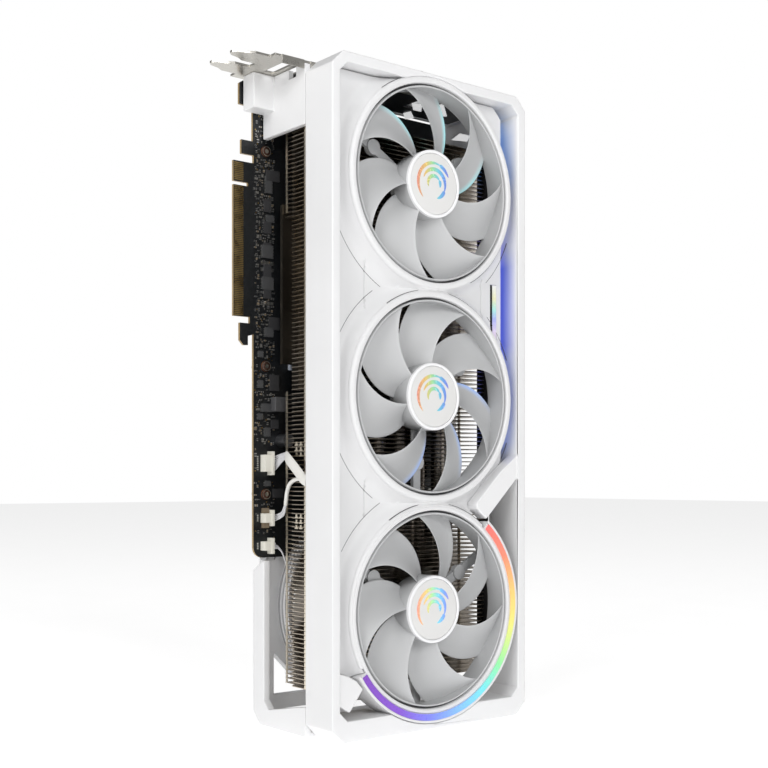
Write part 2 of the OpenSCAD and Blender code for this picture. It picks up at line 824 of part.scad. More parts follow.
module io_bracket() {
    color(steel) placed() {
        difference() {
            length_slab(bracket_low, card_length) union() {
                polygon([[-88, bracket_front], [tab_x, bracket_front], [tab_x, bracket_back],
                         [-88, bracket_back]]);
                for (d = tail_depths) tail_outline(d);
            }
            for (x = display_x) port_opening(x, 8.6);
            for (x = hdmi_x) port_opening(x, 7.8);
            for (i = [0:vent_count - 1]) block(-78 + i * 9.6, -72 + i * 9.6, 29, 51,
                                               bracket_low - 1, card_length + 1);
        }
        screw_tab();
        for (x = [[-84, -side_x - 0.3], [-side_x + cover_sheet + 0.3, tab_x - 4]])
            block(x[0], x[1], bracket_front - 0.6, bracket_front, bracket_low - 3.4, card_length);
    }
}

// The tab turned outwards at the socket side, with an open notch at each slot.
module screw_tab() {
    difference() {
        block(tab_x, tab_x + bracket_sheet, bracket_front + 1, bracket_back - 2, bracket_low, tab_top);
        for (d = tail_depths) {
            translate([tab_x - 1, d, card_length + 6.2]) rotate([0, 90, 0])
                cylinder(r = 2.2, h = 4, $fn = 32);
            block(tab_x - 1, tab_x + 3, d - 2.2, d + 2.2, card_length + 6.2, tab_top + 1);
        }
    }
}

// A metal-shelled display socket with its contact tongue.
module port(x, half, tongue_half) {
    low = bracket_low - port_length;
    difference() {
        block(x - half, x + half, port_front, port_back, low, card_length - 0.2);
        block(x - half + 0.6, x + half - 0.6, port_front + 1.7, port_back - 1.7, low + 5, card_length + 1);
    }
    block(x - tongue_half, x + tongue_half, port_front + 3.5, port_back - 3.5, low + 4, card_length - 2);
}

module display_sockets() {
    color(steel) placed() {
        for (x = display_x) port(x, 8.3, 6);
        for (x = hdmi_x) port(x, 7.5, 5.4);
    }
}

socket_mouth_x = 63.6;
socket_front = 57.1;

// The power socket opens towards +X and holds two rows of blades and a row of sense pins.
module power_socket() {
    color(chip_black) placed() {
        difference() {
            block(46, socket_mouth_x, socket_front, board_depth, socket_z[0], socket_z[1]);
            block(52.6, socket_mouth_x + 1, socket_front + 1.4, board_depth - 1.4,
                  socket_z[0] + 1.4, socket_z[1] - 1.4);
        }
        for (i = [0:5]) for (d = [60, 63]) block(52, 59, d - 0.4, d + 0.4,
                                                 socket_z[0] + 3.1 + i * 3,
                                                 socket_z[0] + 3.9 + i * 3);
    }
}

switch_z = 263;
lever_half = 1;

module switch_body() {
    color(chip_black) placed() difference() {
        block(51, 58.6, 61.4, board_depth, switch_z - 3, switch_z + switch_travel + 3);
        block(55, 59, 62.8, 64.6, switch_z - lever_half - 0.2,
              switch_z + switch_travel + lever_half + 0.2);
    }
}

module switch_lever() {
    color(white) placed()
        block(55.2, 61.4, 63, 64.4, switch_z - lever_half, switch_z + lever_half);
}

// ---------------------------------------------------------------- fan wiring

// Each header lies on its side and opens towards +X: middle height, height of its body, number of pins.
headers = [[145.2, 9.4, 7], [114.9, 5.2, 4], [99.5, 5, 4]];
header_x = -70.6;
header_body = 4.4;
header_lip = 1.6;
lip_margin = 1.9;
header_front = 61;
header_wall = 0.8;
plug_x = header_x + header_body + header_lip + 0.6;

module fan_headers() {
    body_x = header_x + header_body;
    color(cream) placed() for (h = headers) difference() {
        union() {
            block(header_x, body_x, header_front, board_depth, h[0] - h[1] / 2, h[0] + h[1] / 2);
            block(body_x, body_x + header_lip, header_front - 0.4, board_depth,
                  h[0] - h[1] / 2 - lip_margin, h[0] + h[1] / 2 + lip_margin);
        }
        block(header_x + 1.4, plug_x, header_front + header_wall, board_depth - header_wall,
              h[0] - h[1] / 2 + header_wall, h[0] + h[1] / 2 - header_wall);
    }
}

module fan_plugs() {
    fit = header_wall + 0.2;
    color(white) placed() for (h = headers)
        block(header_x + 1.6, plug_x, header_front + fit, board_depth - fit,
              h[0] - h[1] / 2 + fit, h[0] + h[1] / 2 - fit);
}

function unit(v) = v / norm(v);
function path_direction(path, i) =
    unit(path[min(i + 1, len(path) - 1)] - path[max(i - 1, 0)]);

// A tube with an oval section along a path of points.
module lead(path, wide, thick) {
    sides = 8;
    rings = [for (i = [0:len(path) - 1])
        let (along = path_direction(path, i),
             across = unit(cross(along, [1, 0.2, 0.1])),
             out = cross(across, along))
        for (j = [0:sides - 1]) path[i] + across * wide / 2 * cos(360 * j / sides)
                                        + out * thick / 2 * sin(360 * j / sides)];
    last = (len(path) - 1) * sides;
    skin = [for (i = [0:len(path) - 2]) for (j = [0:sides - 1])
        let (a = i * sides + j, b = i * sides + (j + 1) % sides)
        each [[a, b, b + sides], [a, b + sides, a + sides]]];
    caps = [[for (j = [sides - 1:-1:0]) j], [for (j = [0:sides - 1]) last + j]];
    polyhedron(rings, concat(skin, caps));
}

front_lead = [[-64.3, 63.4, 145.2], [-63.2, 63.4, 145.2], [-62.2, 61.2, 146.4], [-62, 57, 147.8], [-63.6, 51, 149],
              [-66.6, 46, 148.6], [-68.1, 41, 146.2], [-68.2, 34, 141.2],
              [-68.2, 28, 136.4], [-68.2, 24.9, 135.6]];
loop_lead = [[-64.3, 63.4, 114.9], [-63.2, 63.4, 114.9], [-62.3, 61.8, 115.6], [-62, 57.5, 117.4], [-63.6, 51.5, 120.4],
             [-65.8, 47.6, 125.2], [-66.4, 45.6, 130], [-66.2, 43.4, 133.8], [-65.95, 39, 136],
             [-65.9, 33, 136.6], [-65.9, 24.6, 136.6]];
rear_lead = [[-64.3, 63.4, 99.5], [-63.2, 63.4, 99.5], [-61.2, 62.8, 98.8], [-59.4, 61.2, 95.8], [-58.2, 59.4, 90],
             [-57.4, 58.4, 83], [-56.6, 58.3, 73.6]];

module fan_leads() {
    color(white) placed() {
        lead(front_lead, 6.4, 1.6);
        lead(loop_lead, 2.2, 2.2);
        lead(rear_lead, 1.8, 1.8);
    }
}

// ---------------------------------------------------------------- assembly

for (k = [1:4]) fan_rotor(k);
for (k = [1:4]) fan_cap(k);
for (k = [1:4]) fan_magnet(k);
for (k = [1:4]) fan_shaft(k);
for (k = [1:4]) fan_motor_base(k);
fan_stators();
fan_bearings();
front_frame();
for (i = [0:2]) front_shroud(i);
bracket_end_cover();
tail_frame();
socket_side_rail();
rear_fan_shroud();
backplate();
ring_light_housing();
ring_light();
channel_light();
badge_strip();
circuit_board();
edge_contacts();
gpu_package();
gpu_die();
memory_chips();
power_stages();
chokes();
capacitors();
controller_chips();
thermal_pads();
cold_plate();
heat_pipes();
fin_stack();
retention_bracket();
board_standoffs();
board_screws();
fan_screws();
io_bracket();
display_sockets();
power_socket();
switch_body();
switch_lever();
fan_headers();
fan_plugs();
fan_leads();
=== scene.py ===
"""Looks of a quad-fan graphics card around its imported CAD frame.

Lengths are millimetres unless a comment says otherwise. depth is measured backwards (+Y) from the card's
front rim, and x and z are the frame's own. A turned shape's outline is a closed list of (radius, depth).
"""
import json
import random
from math import cos, hypot, pi, radians, sin, sqrt

import bmesh
import bpy
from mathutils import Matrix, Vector


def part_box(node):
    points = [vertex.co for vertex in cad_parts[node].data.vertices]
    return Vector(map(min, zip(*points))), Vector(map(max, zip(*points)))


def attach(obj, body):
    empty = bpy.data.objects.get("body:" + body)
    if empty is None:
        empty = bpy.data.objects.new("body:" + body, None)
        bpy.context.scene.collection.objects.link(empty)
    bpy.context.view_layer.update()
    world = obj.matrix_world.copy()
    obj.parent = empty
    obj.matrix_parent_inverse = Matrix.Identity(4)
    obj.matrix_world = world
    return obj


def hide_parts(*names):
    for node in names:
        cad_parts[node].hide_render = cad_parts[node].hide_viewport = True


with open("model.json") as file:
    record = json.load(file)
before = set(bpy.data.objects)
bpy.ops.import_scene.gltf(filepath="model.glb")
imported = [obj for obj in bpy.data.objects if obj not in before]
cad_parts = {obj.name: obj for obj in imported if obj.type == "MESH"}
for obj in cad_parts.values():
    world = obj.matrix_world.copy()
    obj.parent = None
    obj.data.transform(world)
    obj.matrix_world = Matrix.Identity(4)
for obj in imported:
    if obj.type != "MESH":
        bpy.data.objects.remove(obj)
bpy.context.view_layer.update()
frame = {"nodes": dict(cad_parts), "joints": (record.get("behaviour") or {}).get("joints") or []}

MM = 0.001
NODES = frame["nodes"]
front_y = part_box("front_frame")[0].y / MM
card_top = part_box("front_frame")[1].z / MM
side_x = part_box("front_frame")[1].x / MM
board_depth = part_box("circuit_board")[0].y / MM - front_y
fan_x = 1
# Depth d of a front fan's shape lies at rear_mirror_depth - d on the rear fan.
rear_mirror_depth = 76.2
FANS = (1, 2, 3, 4)


def fan_joint(k):
    """The spin joint of fan k."""
    return next(j for j in frame["joints"] if j["child"] == f"fan_{k}")


fan_z = [fan_joint(k)["pos_m"][2] / MM for k in FANS]
# Turn of each fan's first blade at rest, in degrees, and the sense in which its blades sweep.
fan_phase = [238, 217, 228, 200]
fan_hand = [1, -1, 1, 1]


def place(x, depth, z):
    """Metres in the frame for a point given as x, depth behind the rim and height."""
    return (x * MM, (front_y + depth) * MM, z * MM)


# ---- camera, light and floor

CAMERA_AT = (-442.6, -548.4, 136.6)
CAMERA_HEADING = 38.563
CAMERA_LENS = 57.85
CAMERA_SHIFT_Y = 0.1234

scene = bpy.context.scene


def put(name, data):
    """A new object in the scene."""
    thing = bpy.data.objects.new(name, data)
    scene.collection.objects.link(thing)
    return thing


def make_camera():
    data = bpy.data.cameras.new("camera")
    data.sensor_width = 36
    data.lens = CAMERA_LENS
    data.shift_y = CAMERA_SHIFT_Y
    data.clip_start = 0.01
    camera = put("camera", data)
    camera.location = [v * MM for v in CAMERA_AT]
    camera.rotation_euler = (radians(90), 0, -radians(CAMERA_HEADING))
    scene.camera = camera


def area_light(name, at, aim, size, power):
    data = bpy.data.lights.new(name, "AREA")
    data.shape = "RECTANGLE"
    data.size, data.size_y = size
    data.energy = power
    light = put(name, data)
    light.location = at
    direction = Vector(aim) - Vector(at)
    light.rotation_euler = direction.to_track_quat("-Z", "Y").to_euler()


def make_world(light, seen):
    """A white studio: it lights the object with one strength and shows behind it with another."""
    world = bpy.data.worlds.new("studio")
    world.use_nodes = True
    tree = world.node_tree
    background = tree.nodes["Background"]
    background.inputs["Color"].default_value = (1, 1, 1, 1)
    path = tree.nodes.new("ShaderNodeLightPath")
    strength = tree.nodes.new("ShaderNodeMapRange")
    tree.links.new(path.outputs["Is Camera Ray"], strength.inputs[0])
    strength.inputs[3].default_value = light
    strength.inputs[4].default_value = seen
    tree.links.new(strength.outputs[0], background.inputs["Strength"])
    scene.world = world


def make_floor():
    """A pale floor with a faint glow of its own, so that it fades into the white studio."""
    half = 6
    corners = [(-half, -half, 0), (half, -half, 0), (half, half, 0), (-half, half, 0)]
    mesh = bpy.data.meshes.new("floor")
    mesh.from_pydata(corners, [], [(0, 1, 2, 3)])
    floor = put("floor", mesh)
    paper = coated("floor_paper", (0.93, 0.93, 0.93), 0.9, 3, grain_depth=0.02, glow=0.62)
    floor.data.materials.append(paper)


# ---- materials

class Shader:
    """A Principled material with a few helpers for wiring its nodes.

    In node(), an input named i3 is the fourth one, and an underscore in a name stands for a space.
    """

    def __init__(self, name):
        self.material = bpy.data.materials.new(name)
        self.material.use_nodes = True
        self.tree = self.material.node_tree
        self.bsdf = self.tree.nodes["Principled BSDF"]

    def node(self, kind, settings=None, **inputs):
        made = self.tree.nodes.new("ShaderNode" + kind)
        for key, value in (settings or {}).items():
            setattr(made, key, value)
        for key, value in inputs.items():
            numbered = key[0] == "i" and key[1:].isdigit()
            self.feed(made.inputs[int(key[1:]) if numbered else key.replace("_", " ")], value)
        return made

    def feed(self, socket, value):
        if isinstance(value, bpy.types.NodeSocket):
            self.tree.links.new(value, socket)
        else:
            socket.default_value = value

    def place(self):
        return self.node("TexCoord").outputs["Object"]

    def noise(self, scale, detail=3, rough=0.5, vector=None):
        return self.node("TexNoise", Vector=vector or self.place(), Scale=scale, Detail=detail,
                         Roughness=rough).outputs["Fac"]

    def ramp(self, value, stops):
        made = self.node("ValToRGB", Fac=value)
        ramp = made.color_ramp
        while len(ramp.elements) < len(stops):
            ramp.elements.new(0.5)
        for element, (at, colour) in zip(ramp.elements, stops):
            element.position = at
            element.color = (*colour, 1)
        return made.outputs["Color"]

    def axis(self, name):
        """The object coordinate X, Y or Z, in metres."""
        return self.node("SeparateXYZ", Vector=self.place()).outputs[name]

    def spread(self, value, low, high, out_low=0, out_high=1):
        return self.node("MapRange", i0=value, i1=low, i2=high, i3=out_low, i4=out_high).outputs[0]

    def vary(self, noise, low, high):
        """Stretches the busy middle of a noise between two values."""
        return self.spread(noise, 0.3, 0.7, low, high)

    def maths(self, operation, a, b=0):
        return self.node("Math", {"operation": operation}, i0=a, i1=b).outputs[0]

    def blend(self, factor, a, b):
        made = self.node("Mix", {"data_type": "RGBA"}, i0=factor, i6=a, i7=b)
        return made.outputs[2]

    def bump(self, height, strength, distance_mm):
        made = self.node("Bump", Height=height, Strength=strength, Distance=distance_mm * MM)
        self.tree.links.new(made.outputs["Normal"], self.bsdf.inputs["Normal"])

    def set(self, **inputs):
        for key, value in inputs.items():
            self.feed(self.bsdf.inputs[key.replace("_", " ")], value)
        return self


def shade(colour, factor):
    return tuple(min(1, c * factor) for c in colour)


def coated(name, colour, rough, grain, grain_depth=0.01, metallic=0, coat=0, glow=0):
    """Paint or moulded plastic: a faint mottle in the colour and a fine grain, sized in millimetres."""
    s = Shader(name)
    cloud = s.noise(18, 4)
    fine = s.noise(1000 / grain, 2, 0.6)
    s.set(Base_Color=s.ramp(cloud, [(0.3, shade(colour, 0.97)), (0.7, shade(colour, 1.012))]),
          Roughness=s.vary(fine, rough - 0.05, rough + 0.06),
          Metallic=metallic, Coat_Weight=coat, Coat_Roughness=0.2, Emission_Color=(1, 1, 1, 1),
          Emission_Strength=glow)
    s.bump(fine, 0.25, grain_depth)
    return s.material


def brushed(name, colour, rough=0.28, stretch=(1, 1, 30), scale=120):
    """Metal with fine parallel brushing and a little tarnish."""
    s = Shader(name)
    mapping = s.node("Mapping", Vector=s.place(), Scale=stretch)
    lines = s.noise(scale, 5, 0.65, mapping.outputs[0])
    cloud = s.noise(30, 3)
    s.set(Base_Color=s.blend(s.vary(cloud, 0, 0.5), (*colour, 1), (*shade(colour, 0.75), 1)),
          Roughness=s.vary(lines, rough - 0.06, rough + 0.12), Metallic=1)
    s.bump(lines, 0.2, 0.01)
    return s.material


RAINBOW = [(0, (0.16, 0.045, 0.36)), (0.16, (0.17, 0.06, 0.45)), (0.27, (0.15, 0.17, 0.66)),
           (0.38, (0.17, 0.38, 0.8)), (0.48, (0.14, 0.58, 0.62)), (0.57, (0.22, 0.66, 0.27)),
           (0.68, (0.62, 0.62, 0.16)), (0.78, (0.8, 0.46, 0.14)), (0.89, (0.78, 0.2, 0.13)),
           (1, (0.76, 0.13, 0.12))]


def lit_arc():
    """The ring light: its colour turns with the angle about the tail fan's axis."""
    s = Shader("ring_light_glow")
    dx = s.maths("SUBTRACT", s.axis("X"), fan_x * MM)
    dz = s.maths("SUBTRACT", s.axis("Z"), fan_z[2] * MM)
    angle = s.maths("ARCTAN2", dz, dx)
    colour = s.ramp(s.spread(angle, radians(-148), radians(50)), RAINBOW)
    fine = s.noise(900)
    s.set(Base_Color=colour, Roughness=s.vary(fine, 0.25, 0.35), Emission_Color=colour,
          Emission_Strength=0.45)
    s.bump(fine, 0.1, 0.005)
    return s.material


def lit_channel():
    """The long light beside the shroud: blue at the top, violet at fan level, blue below."""
    s = Shader("channel_glow")
    colour = s.ramp(s.spread(s.axis("Z"), 0.156, 0.346), [
        (0, (0.1, 0.2, 0.95)), (0.35, (0.12, 0.14, 0.95)), (0.6, (0.16, 0.12, 0.92)),
        (0.75, (0.3, 0.3, 0.55)), (0.85, (0.05, 0.28, 0.85)), (1, (0.1, 0.3, 0.7))])
    fine = s.noise(900)
    s.set(Base_Color=colour, Roughness=s.vary(fine, 0.3, 0.4), Emission_Color=colour,
          Emission_Strength=0.5)
    return s.material


def painted_edge_glow_fan(name, painted_light_colour):
    """Fan plastic with a painted reflection of the coloured light behind the fan: the trailing edges marked
    on the mesh take on its colour and a faint glow.
    """
    s = Shader(name)
    fine = s.noise(3300, 2, 0.6)
    cloud = s.noise(18, 4)
    mark = s.node("Attribute", {"attribute_name": "painted_edge_light"}).outputs["Fac"]
    plain = s.ramp(cloud, [(0.3, (0.51, 0.515, 0.52)), (0.7, (0.54, 0.545, 0.55))])
    # Painted reflection: the marked trailing edges are tinted with the light's colour and glow a little.
    s.set(Base_Color=s.blend(s.maths("MULTIPLY", mark, 0.6), plain, (*painted_light_colour, 1)),
          Roughness=s.vary(fine, 0.35, 0.46), Emission_Color=(*painted_light_colour, 1),
          Emission_Strength=s.maths("MULTIPLY", mark, 0.35))
    s.bump(fine, 0.25, 0.01)
    return s.material


def paint_rail_glow():
    """White paint with the channel light's blue glow painted on: strongest deep in the channel, fading out
    towards the rim, and stronger and weaker in bands up the rail.
    """
    s = Shader("painted_rail_glow")
    depth = s.spread(s.axis("Y"), (front_y + 1.5) * MM, (front_y + 13) * MM)
    height = s.axis("Z")
    low = s.spread(height, 0.146, 0.158)
    high = s.spread(height, 0.35, 0.336)
    up = s.spread(height, 0.14, 0.34)
    bands = s.ramp(up, [
        (0, (0.2, 0.3, 0.62)), (0.33, (0.22, 0.3, 0.62)), (0.37, (0.14, 0.19, 0.62)),
        (0.6, (0.13, 0.19, 0.6)), (0.66, (0.3, 0.4, 0.66)), (0.8, (0.3, 0.4, 0.64)),
        (0.86, (0.14, 0.27, 0.55)), (1, (0.18, 0.3, 0.55))])
    strengths = [(0, 0.7), (0.33, 0.7), (0.37, 1), (0.6, 1), (0.66, 0.35), (0.8, 0.35), (0.86, 0.9),
                 (1, 0.7)]
    strength = s.ramp(up, [(at, (value,) * 3) for at, value in strengths])
    # How much painted glow lies at each point: more with depth and in the bright bands.
    amount = s.maths("MULTIPLY", s.maths("POWER", depth, 0.75), s.maths("MULTIPLY", low, high))
    amount = s.maths("MULTIPLY", amount, strength)
    s.set(Base_Color=s.blend(amount, (0.8, 0.8, 0.81, 1), bands),
          Roughness=s.vary(s.noise(900), 0.3, 0.4),
          Emission_Color=bands, Emission_Strength=s.maths("MULTIPLY", amount, 0.3))
    return s.material


def board_mask():
    """Black solder mask with faint traces, and the tan laminate on the cut edges."""
    s = Shader("solder_mask")
    normal = s.node("NewGeometry").outputs["Normal"]
    side = s.maths("ABSOLUTE", s.node("SeparateXYZ", Vector=normal).outputs["Y"])
    face = s.maths("GREATER_THAN", side, 0.5)
    cells = s.node("TexVoronoi", {"feature": "DISTANCE_TO_EDGE", "distance": "CHEBYCHEV"},
                   Vector=s.place(), Scale=260).outputs["Distance"]
    traces = s.spread(cells, 0.02, 0.09, 1, 0)
    cloud = s.noise(60, 4)
    mask = s.blend(s.maths("MULTIPLY", traces, 0.35), (0.005, 0.006, 0.007, 1), (0.015, 0.017, 0.02, 1))
    laminate = s.ramp(cloud, [(0.3, (0.3, 0.21, 0.1)), (0.7, (0.42, 0.31, 0.16))])
    s.set(Base_Color=s.blend(face, laminate, mask), Roughness=s.vary(cloud, 0.3, 0.42))
    s.bump(traces, 0.2, 0.02)
    return s.material


def gold_plate():
    s = Shader("gold_plating")
    cloud = s.noise(150, 4)
    s.set(Base_Color=s.ramp(cloud, [(0.3, (0.34, 0.23, 0.08)), (0.7, (0.5, 0.36, 0.15))]),
          Roughness=s.vary(cloud, 0.24, 0.36), Metallic=1)
    return s.material


def iridescent(name):
    """Foil whose colour runs from warm at the left to blue at the right."""
    s = Shader(name)
    colour = s.ramp(s.spread(s.axis("X"), -0.012, 0.014), [
        (0, (0.95, 0.35, 0.3)), (0.28, (0.98, 0.72, 0.25)), (0.45, (0.45, 0.9, 0.45)),
        (0.62, (0.25, 0.75, 0.95)), (0.8, (0.22, 0.38, 0.95)), (1, (0.35, 0.22, 0.85))])
    s.set(Base_Color=colour, Roughness=s.vary(s.noise(700), 0.2, 0.3), Metallic=0.3)
    return s.material


def badge_foil():
    """The strip beside fan 2: a black line at its left and pearly foil at its right."""
    s = Shader("badge_foil")
    foil = s.ramp(s.spread(s.axis("Z"), 0.2129, 0.2486), [
        (0, (0.85, 0.7, 0.72)), (0.25, (0.8, 0.7, 0.9)), (0.45, (0.45, 0.5, 0.92)),
        (0.6, (0.45, 0.85, 0.8)), (0.78, (0.85, 0.85, 0.55)), (1, (0.9, 0.9, 0.88))])
    dark = s.maths("LESS_THAN", s.axis("X"), 0.0516)
    s.set(Base_Color=s.blend(dark, foil, (0.015, 0.015, 0.018, 1)),
          Roughness=s.vary(s.noise(600), 0.2, 0.3))
    return s.material


MATERIALS = {}


def make_materials():
    """Every look by its key. The numbers after a colour are roughness and, if coated, grain size."""
    MATERIALS.update({
        "frame_paint": coated("frame_paint", (0.8, 0.8, 0.805), 0.38, 0.5, coat=0.15),
        "shroud": coated("shroud_plastic", (0.75, 0.75, 0.755), 0.42, 0.3),
        "fan": coated("fan_plastic", (0.53, 0.535, 0.54), 0.4, 0.3),
        # Fans 1 and 2 carry a painted reflection of coloured light on their blades' trailing edges.
        "fan_1": painted_edge_glow_fan("fan_1_plastic", (0.3, 0.8, 0.85)),
        "fan_2": painted_edge_glow_fan("fan_2_plastic", (0.25, 0.45, 0.95)),
        "cap": coated("cap_face", (0.74, 0.735, 0.725), 0.35, 0.2),
        # The hub's rim: white plastic made much lighter than the fan's, a painted highlight.
        "hub_rim_painted_highlight": coated("hub_rim_painted_highlight", (0.88, 0.88, 0.89), 0.3, 0.3),
        "magnet": coated("magnet", (0.05, 0.05, 0.055), 0.5, 0.2),
        "shaft": brushed("shaft_steel", (0.6, 0.6, 0.61)),
        "winding": coated("winding", (0.45, 0.2, 0.1), 0.35, 0.3, metallic=0.6),
        "bronze": brushed("bearing_bronze", (0.55, 0.38, 0.2), 0.4),
        "ring_light": lit_arc(),
        "channel_light": lit_channel(),
        "badge": badge_foil(),
        "board": board_mask(),
        "gold": gold_plate(),
        "chip": coated("chip_epoxy", (0.03, 0.03, 0.032), 0.5, 0.15),
        "choke": coated("choke_ferrite", (0.07, 0.07, 0.073), 0.55, 0.2),
        "package": coated("package_laminate", (0.03, 0.08, 0.05), 0.35, 0.2),
        "silicon": coated("silicon", (0.25, 0.27, 0.32), 0.12, 0.1, metallic=0.8),
        "can": brushed("capacitor_can", (0.38, 0.39, 0.41), 0.32),
        "pad": coated("pad", (0.35, 0.38, 0.44), 0.8, 0.4),
        # The fins' nickel is darkened: painted shade between the fins.
        "nickel": brushed("fin_nickel_painted_shade", (0.52, 0.455, 0.375), 0.26, stretch=(1, 25, 1), scale=90),
        "plate": brushed("plate_nickel", (0.13, 0.115, 0.095), 0.35),
        "pipe": brushed("pipe_nickel", (0.62, 0.56, 0.5), 0.22),
        "steel": brushed("bracket_steel", (0.66, 0.64, 0.59), 0.3, stretch=(1, 14, 1)),
        "socket": brushed("socket_shell", (0.45, 0.44, 0.42), 0.3),
        "nylon": coated("nylon", (0.8, 0.78, 0.7), 0.35, 0.2),
        "sleeve": coated("lead_sleeve", (0.76, 0.75, 0.71), 0.55, 0.25, grain_depth=0.03),
        "black_plastic": coated("black_plastic", (0.02, 0.02, 0.022), 0.4, 0.2),
        "copper": brushed("bare_copper", (0.24, 0.105, 0.06), 0.4),
        "ceramic": coated("ceramic_tan", (0.2, 0.155, 0.105), 0.45, 0.1),
        "solder": brushed("solder", (0.62, 0.62, 0.6), 0.3),
        # Glowing white: painted light falling through the bracket's openings.
        "painted_daylight": coated("painted_daylight", (0.85, 0.86, 0.88), 0.6, 2, glow=0.55),
        # Dark seams, and the painted shade deep in the fans' ring gaps.
        "gap": coated("seam_shadow", (0.1, 0.1, 0.105), 0.7, 0.3),
        "seam_grey": coated("seam_grey", (0.38, 0.38, 0.39), 0.7, 0.3),
        # Painted light: the channel light's glow on the socket side rail.
        "glow": paint_rail_glow(),
        # A lighter copy of the fins' nickel: painted highlight on the folded tabs.
        "nickel_painted_highlight": brushed("tab_nickel_painted_highlight", (0.86, 0.78, 0.64), 0.3, stretch=(1, 25, 1), scale=90),
        "ceramic_pale": coated("ceramic_pale", (0.13, 0.125, 0.115), 0.45, 0.1),
        "chip_grey": coated("chip_grey", (0.055, 0.056, 0.058), 0.45, 0.12),
        "copper_dark": brushed("screw_copper", (0.16, 0.09, 0.07), 0.4),
        "wire": coated("wire_jacket", (0.74, 0.74, 0.76), 0.4, 0.2),
        **{f"mark_{k}": iridescent(f"cap_mark_{k}") for k in FANS},
    })


def each_fan(part):
    return [f"fan_{k}_{part}" for k in FANS]


NODE_LOOKS = {
    "frame_paint": ["front_frame", "bracket_end_cover", "tail_frame", "socket_side_rail", "backplate"],
    "shroud": ["rear_fan_shroud", "ring_light_housing"],
    "fan": each_fan("motor_base") + each_fan("rotor"),
    "magnet": each_fan("magnet"),
    "shaft": each_fan("shaft"),
    "winding": ["fan_stators"],
    "bronze": ["fan_bearings"],
    "ring_light": ["ring_light"],
    "channel_light": ["channel_light"],
    "badge": ["badge_strip"],
    "board": ["circuit_board"],
    "gold": ["edge_contacts"],
    "chip": ["memory_chips", "power_stages", "controller_chips"],
    "choke": ["chokes"],
    "package": ["gpu_package"],
    "silicon": ["gpu_die"],
    "can": ["capacitors"],
    "pad": ["thermal_pads"],
    "nickel": ["fin_stack"],
    "plate": ["cold_plate"],
    "pipe": ["heat_pipes"],
    "steel": ["io_bracket", "retention_bracket", "board_standoffs", "board_screws", "fan_screws"],
    "socket": ["display_sockets"],
    "black_plastic": ["power_socket", "switch_body"],
    "nylon": ["fan_headers", "fan_plugs", "switch_lever"],
}

# The CAD nodes that show, by the width in millimetres of their rounded edges.
EDGE_ROUNDING = {
    0.7: ["front_frame", "tail_frame"],
    0.6: ["bracket_end_cover", "socket_side_rail"],
    0.4: ["rear_fan_shroud", "chokes"],
    0.3: ["backplate"],
    0.2: ["ring_light_housing", "power_socket", "fan_plugs", "switch_body", "switch_lever"],
    0.15: ["io_bracket", "fan_headers"],
    0.1: ["memory_chips", "controller_chips"],
    0.08: ["circuit_board"],
}


def dress_nodes():
    for look, names in NODE_LOOKS.items():
        for name in names:
            node = NODES[name]
            node.data.materials.clear()
            node.data.materials.append(MATERIALS[look])
    for node, width in [(NODES[name], width) for width, names in EDGE_ROUNDING.items() for name in names]:
        for polygon in node.data.polygons:
            polygon.use_smooth = True
        weld = node.modifiers.new("weld", "WELD")
        weld.merge_threshold = 0.002 * MM
        round_edges(node, width, 32)
        flat = node.modifiers.new("flat_faces", "WEIGHTED_NORMAL")
        flat.mode = "FACE_AREA"
        flat.weight = 100


# ---- mesh helpers

def show_mesh(mesh, name, material, body="card", smooth=35, slot=None):
    """An object of a finished mesh, shaded smooth up to an angle and riding on a body."""
    mesh.materials.append(MATERIALS[material])
    for polygon in mesh.polygons:
        polygon.use_smooth = True
    mesh.set_sharp_from_angle(angle=radians(smooth))
    thing = put(name, mesh)
    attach(thing, body)
    return thing


def round_edges(thing, width, angle):
    """Rounds the edges sharper than an angle in degrees."""
    bevel = thing.modifiers.new("rounded_edges", "BEVEL")
    bevel.width = width * MM
    bevel.segments = 2
    bevel.limit_method = "ANGLE"
    bevel.angle_limit = radians(angle)


def outwards(outline):
    """A turned shape's outline in the order that makes its faces point outwards."""
    pairs = zip(outline, outline[1:] + outline[:1])
    area = sum(r0 * d1 - r1 * d0 for (r0, d0), (r1, d1) in pairs)
    return outline if area < 0 else outline[::-1]


def prism_faces(sides):
    """Faces of a prism whose points are one outline followed by the same outline at its other end."""
    walls = [(i, (i + 1) % sides, sides + (i + 1) % sides, sides + i) for i in range(sides)]
    return walls + [tuple(range(sides))[::-1], tuple(range(sides, 2 * sides))]


def around(centre, r, angle):
    """The (x, z) at a radius and an angle in radians about a centre."""
    return centre[0] + r * cos(angle), centre[1] + r * sin(angle)


def loft(rows, count, closed=False):
    """Faces between successive rows of count points each. A closed loft joins the last row to the first."""
    faces = []
    for i in range(rows if closed else rows - 1):
        n = (i + 1) % rows
        for j in range(count):
            m = (j + 1) % count
            faces.append((i * count + j, i * count + m, n * count + m, n * count + j))
    return faces


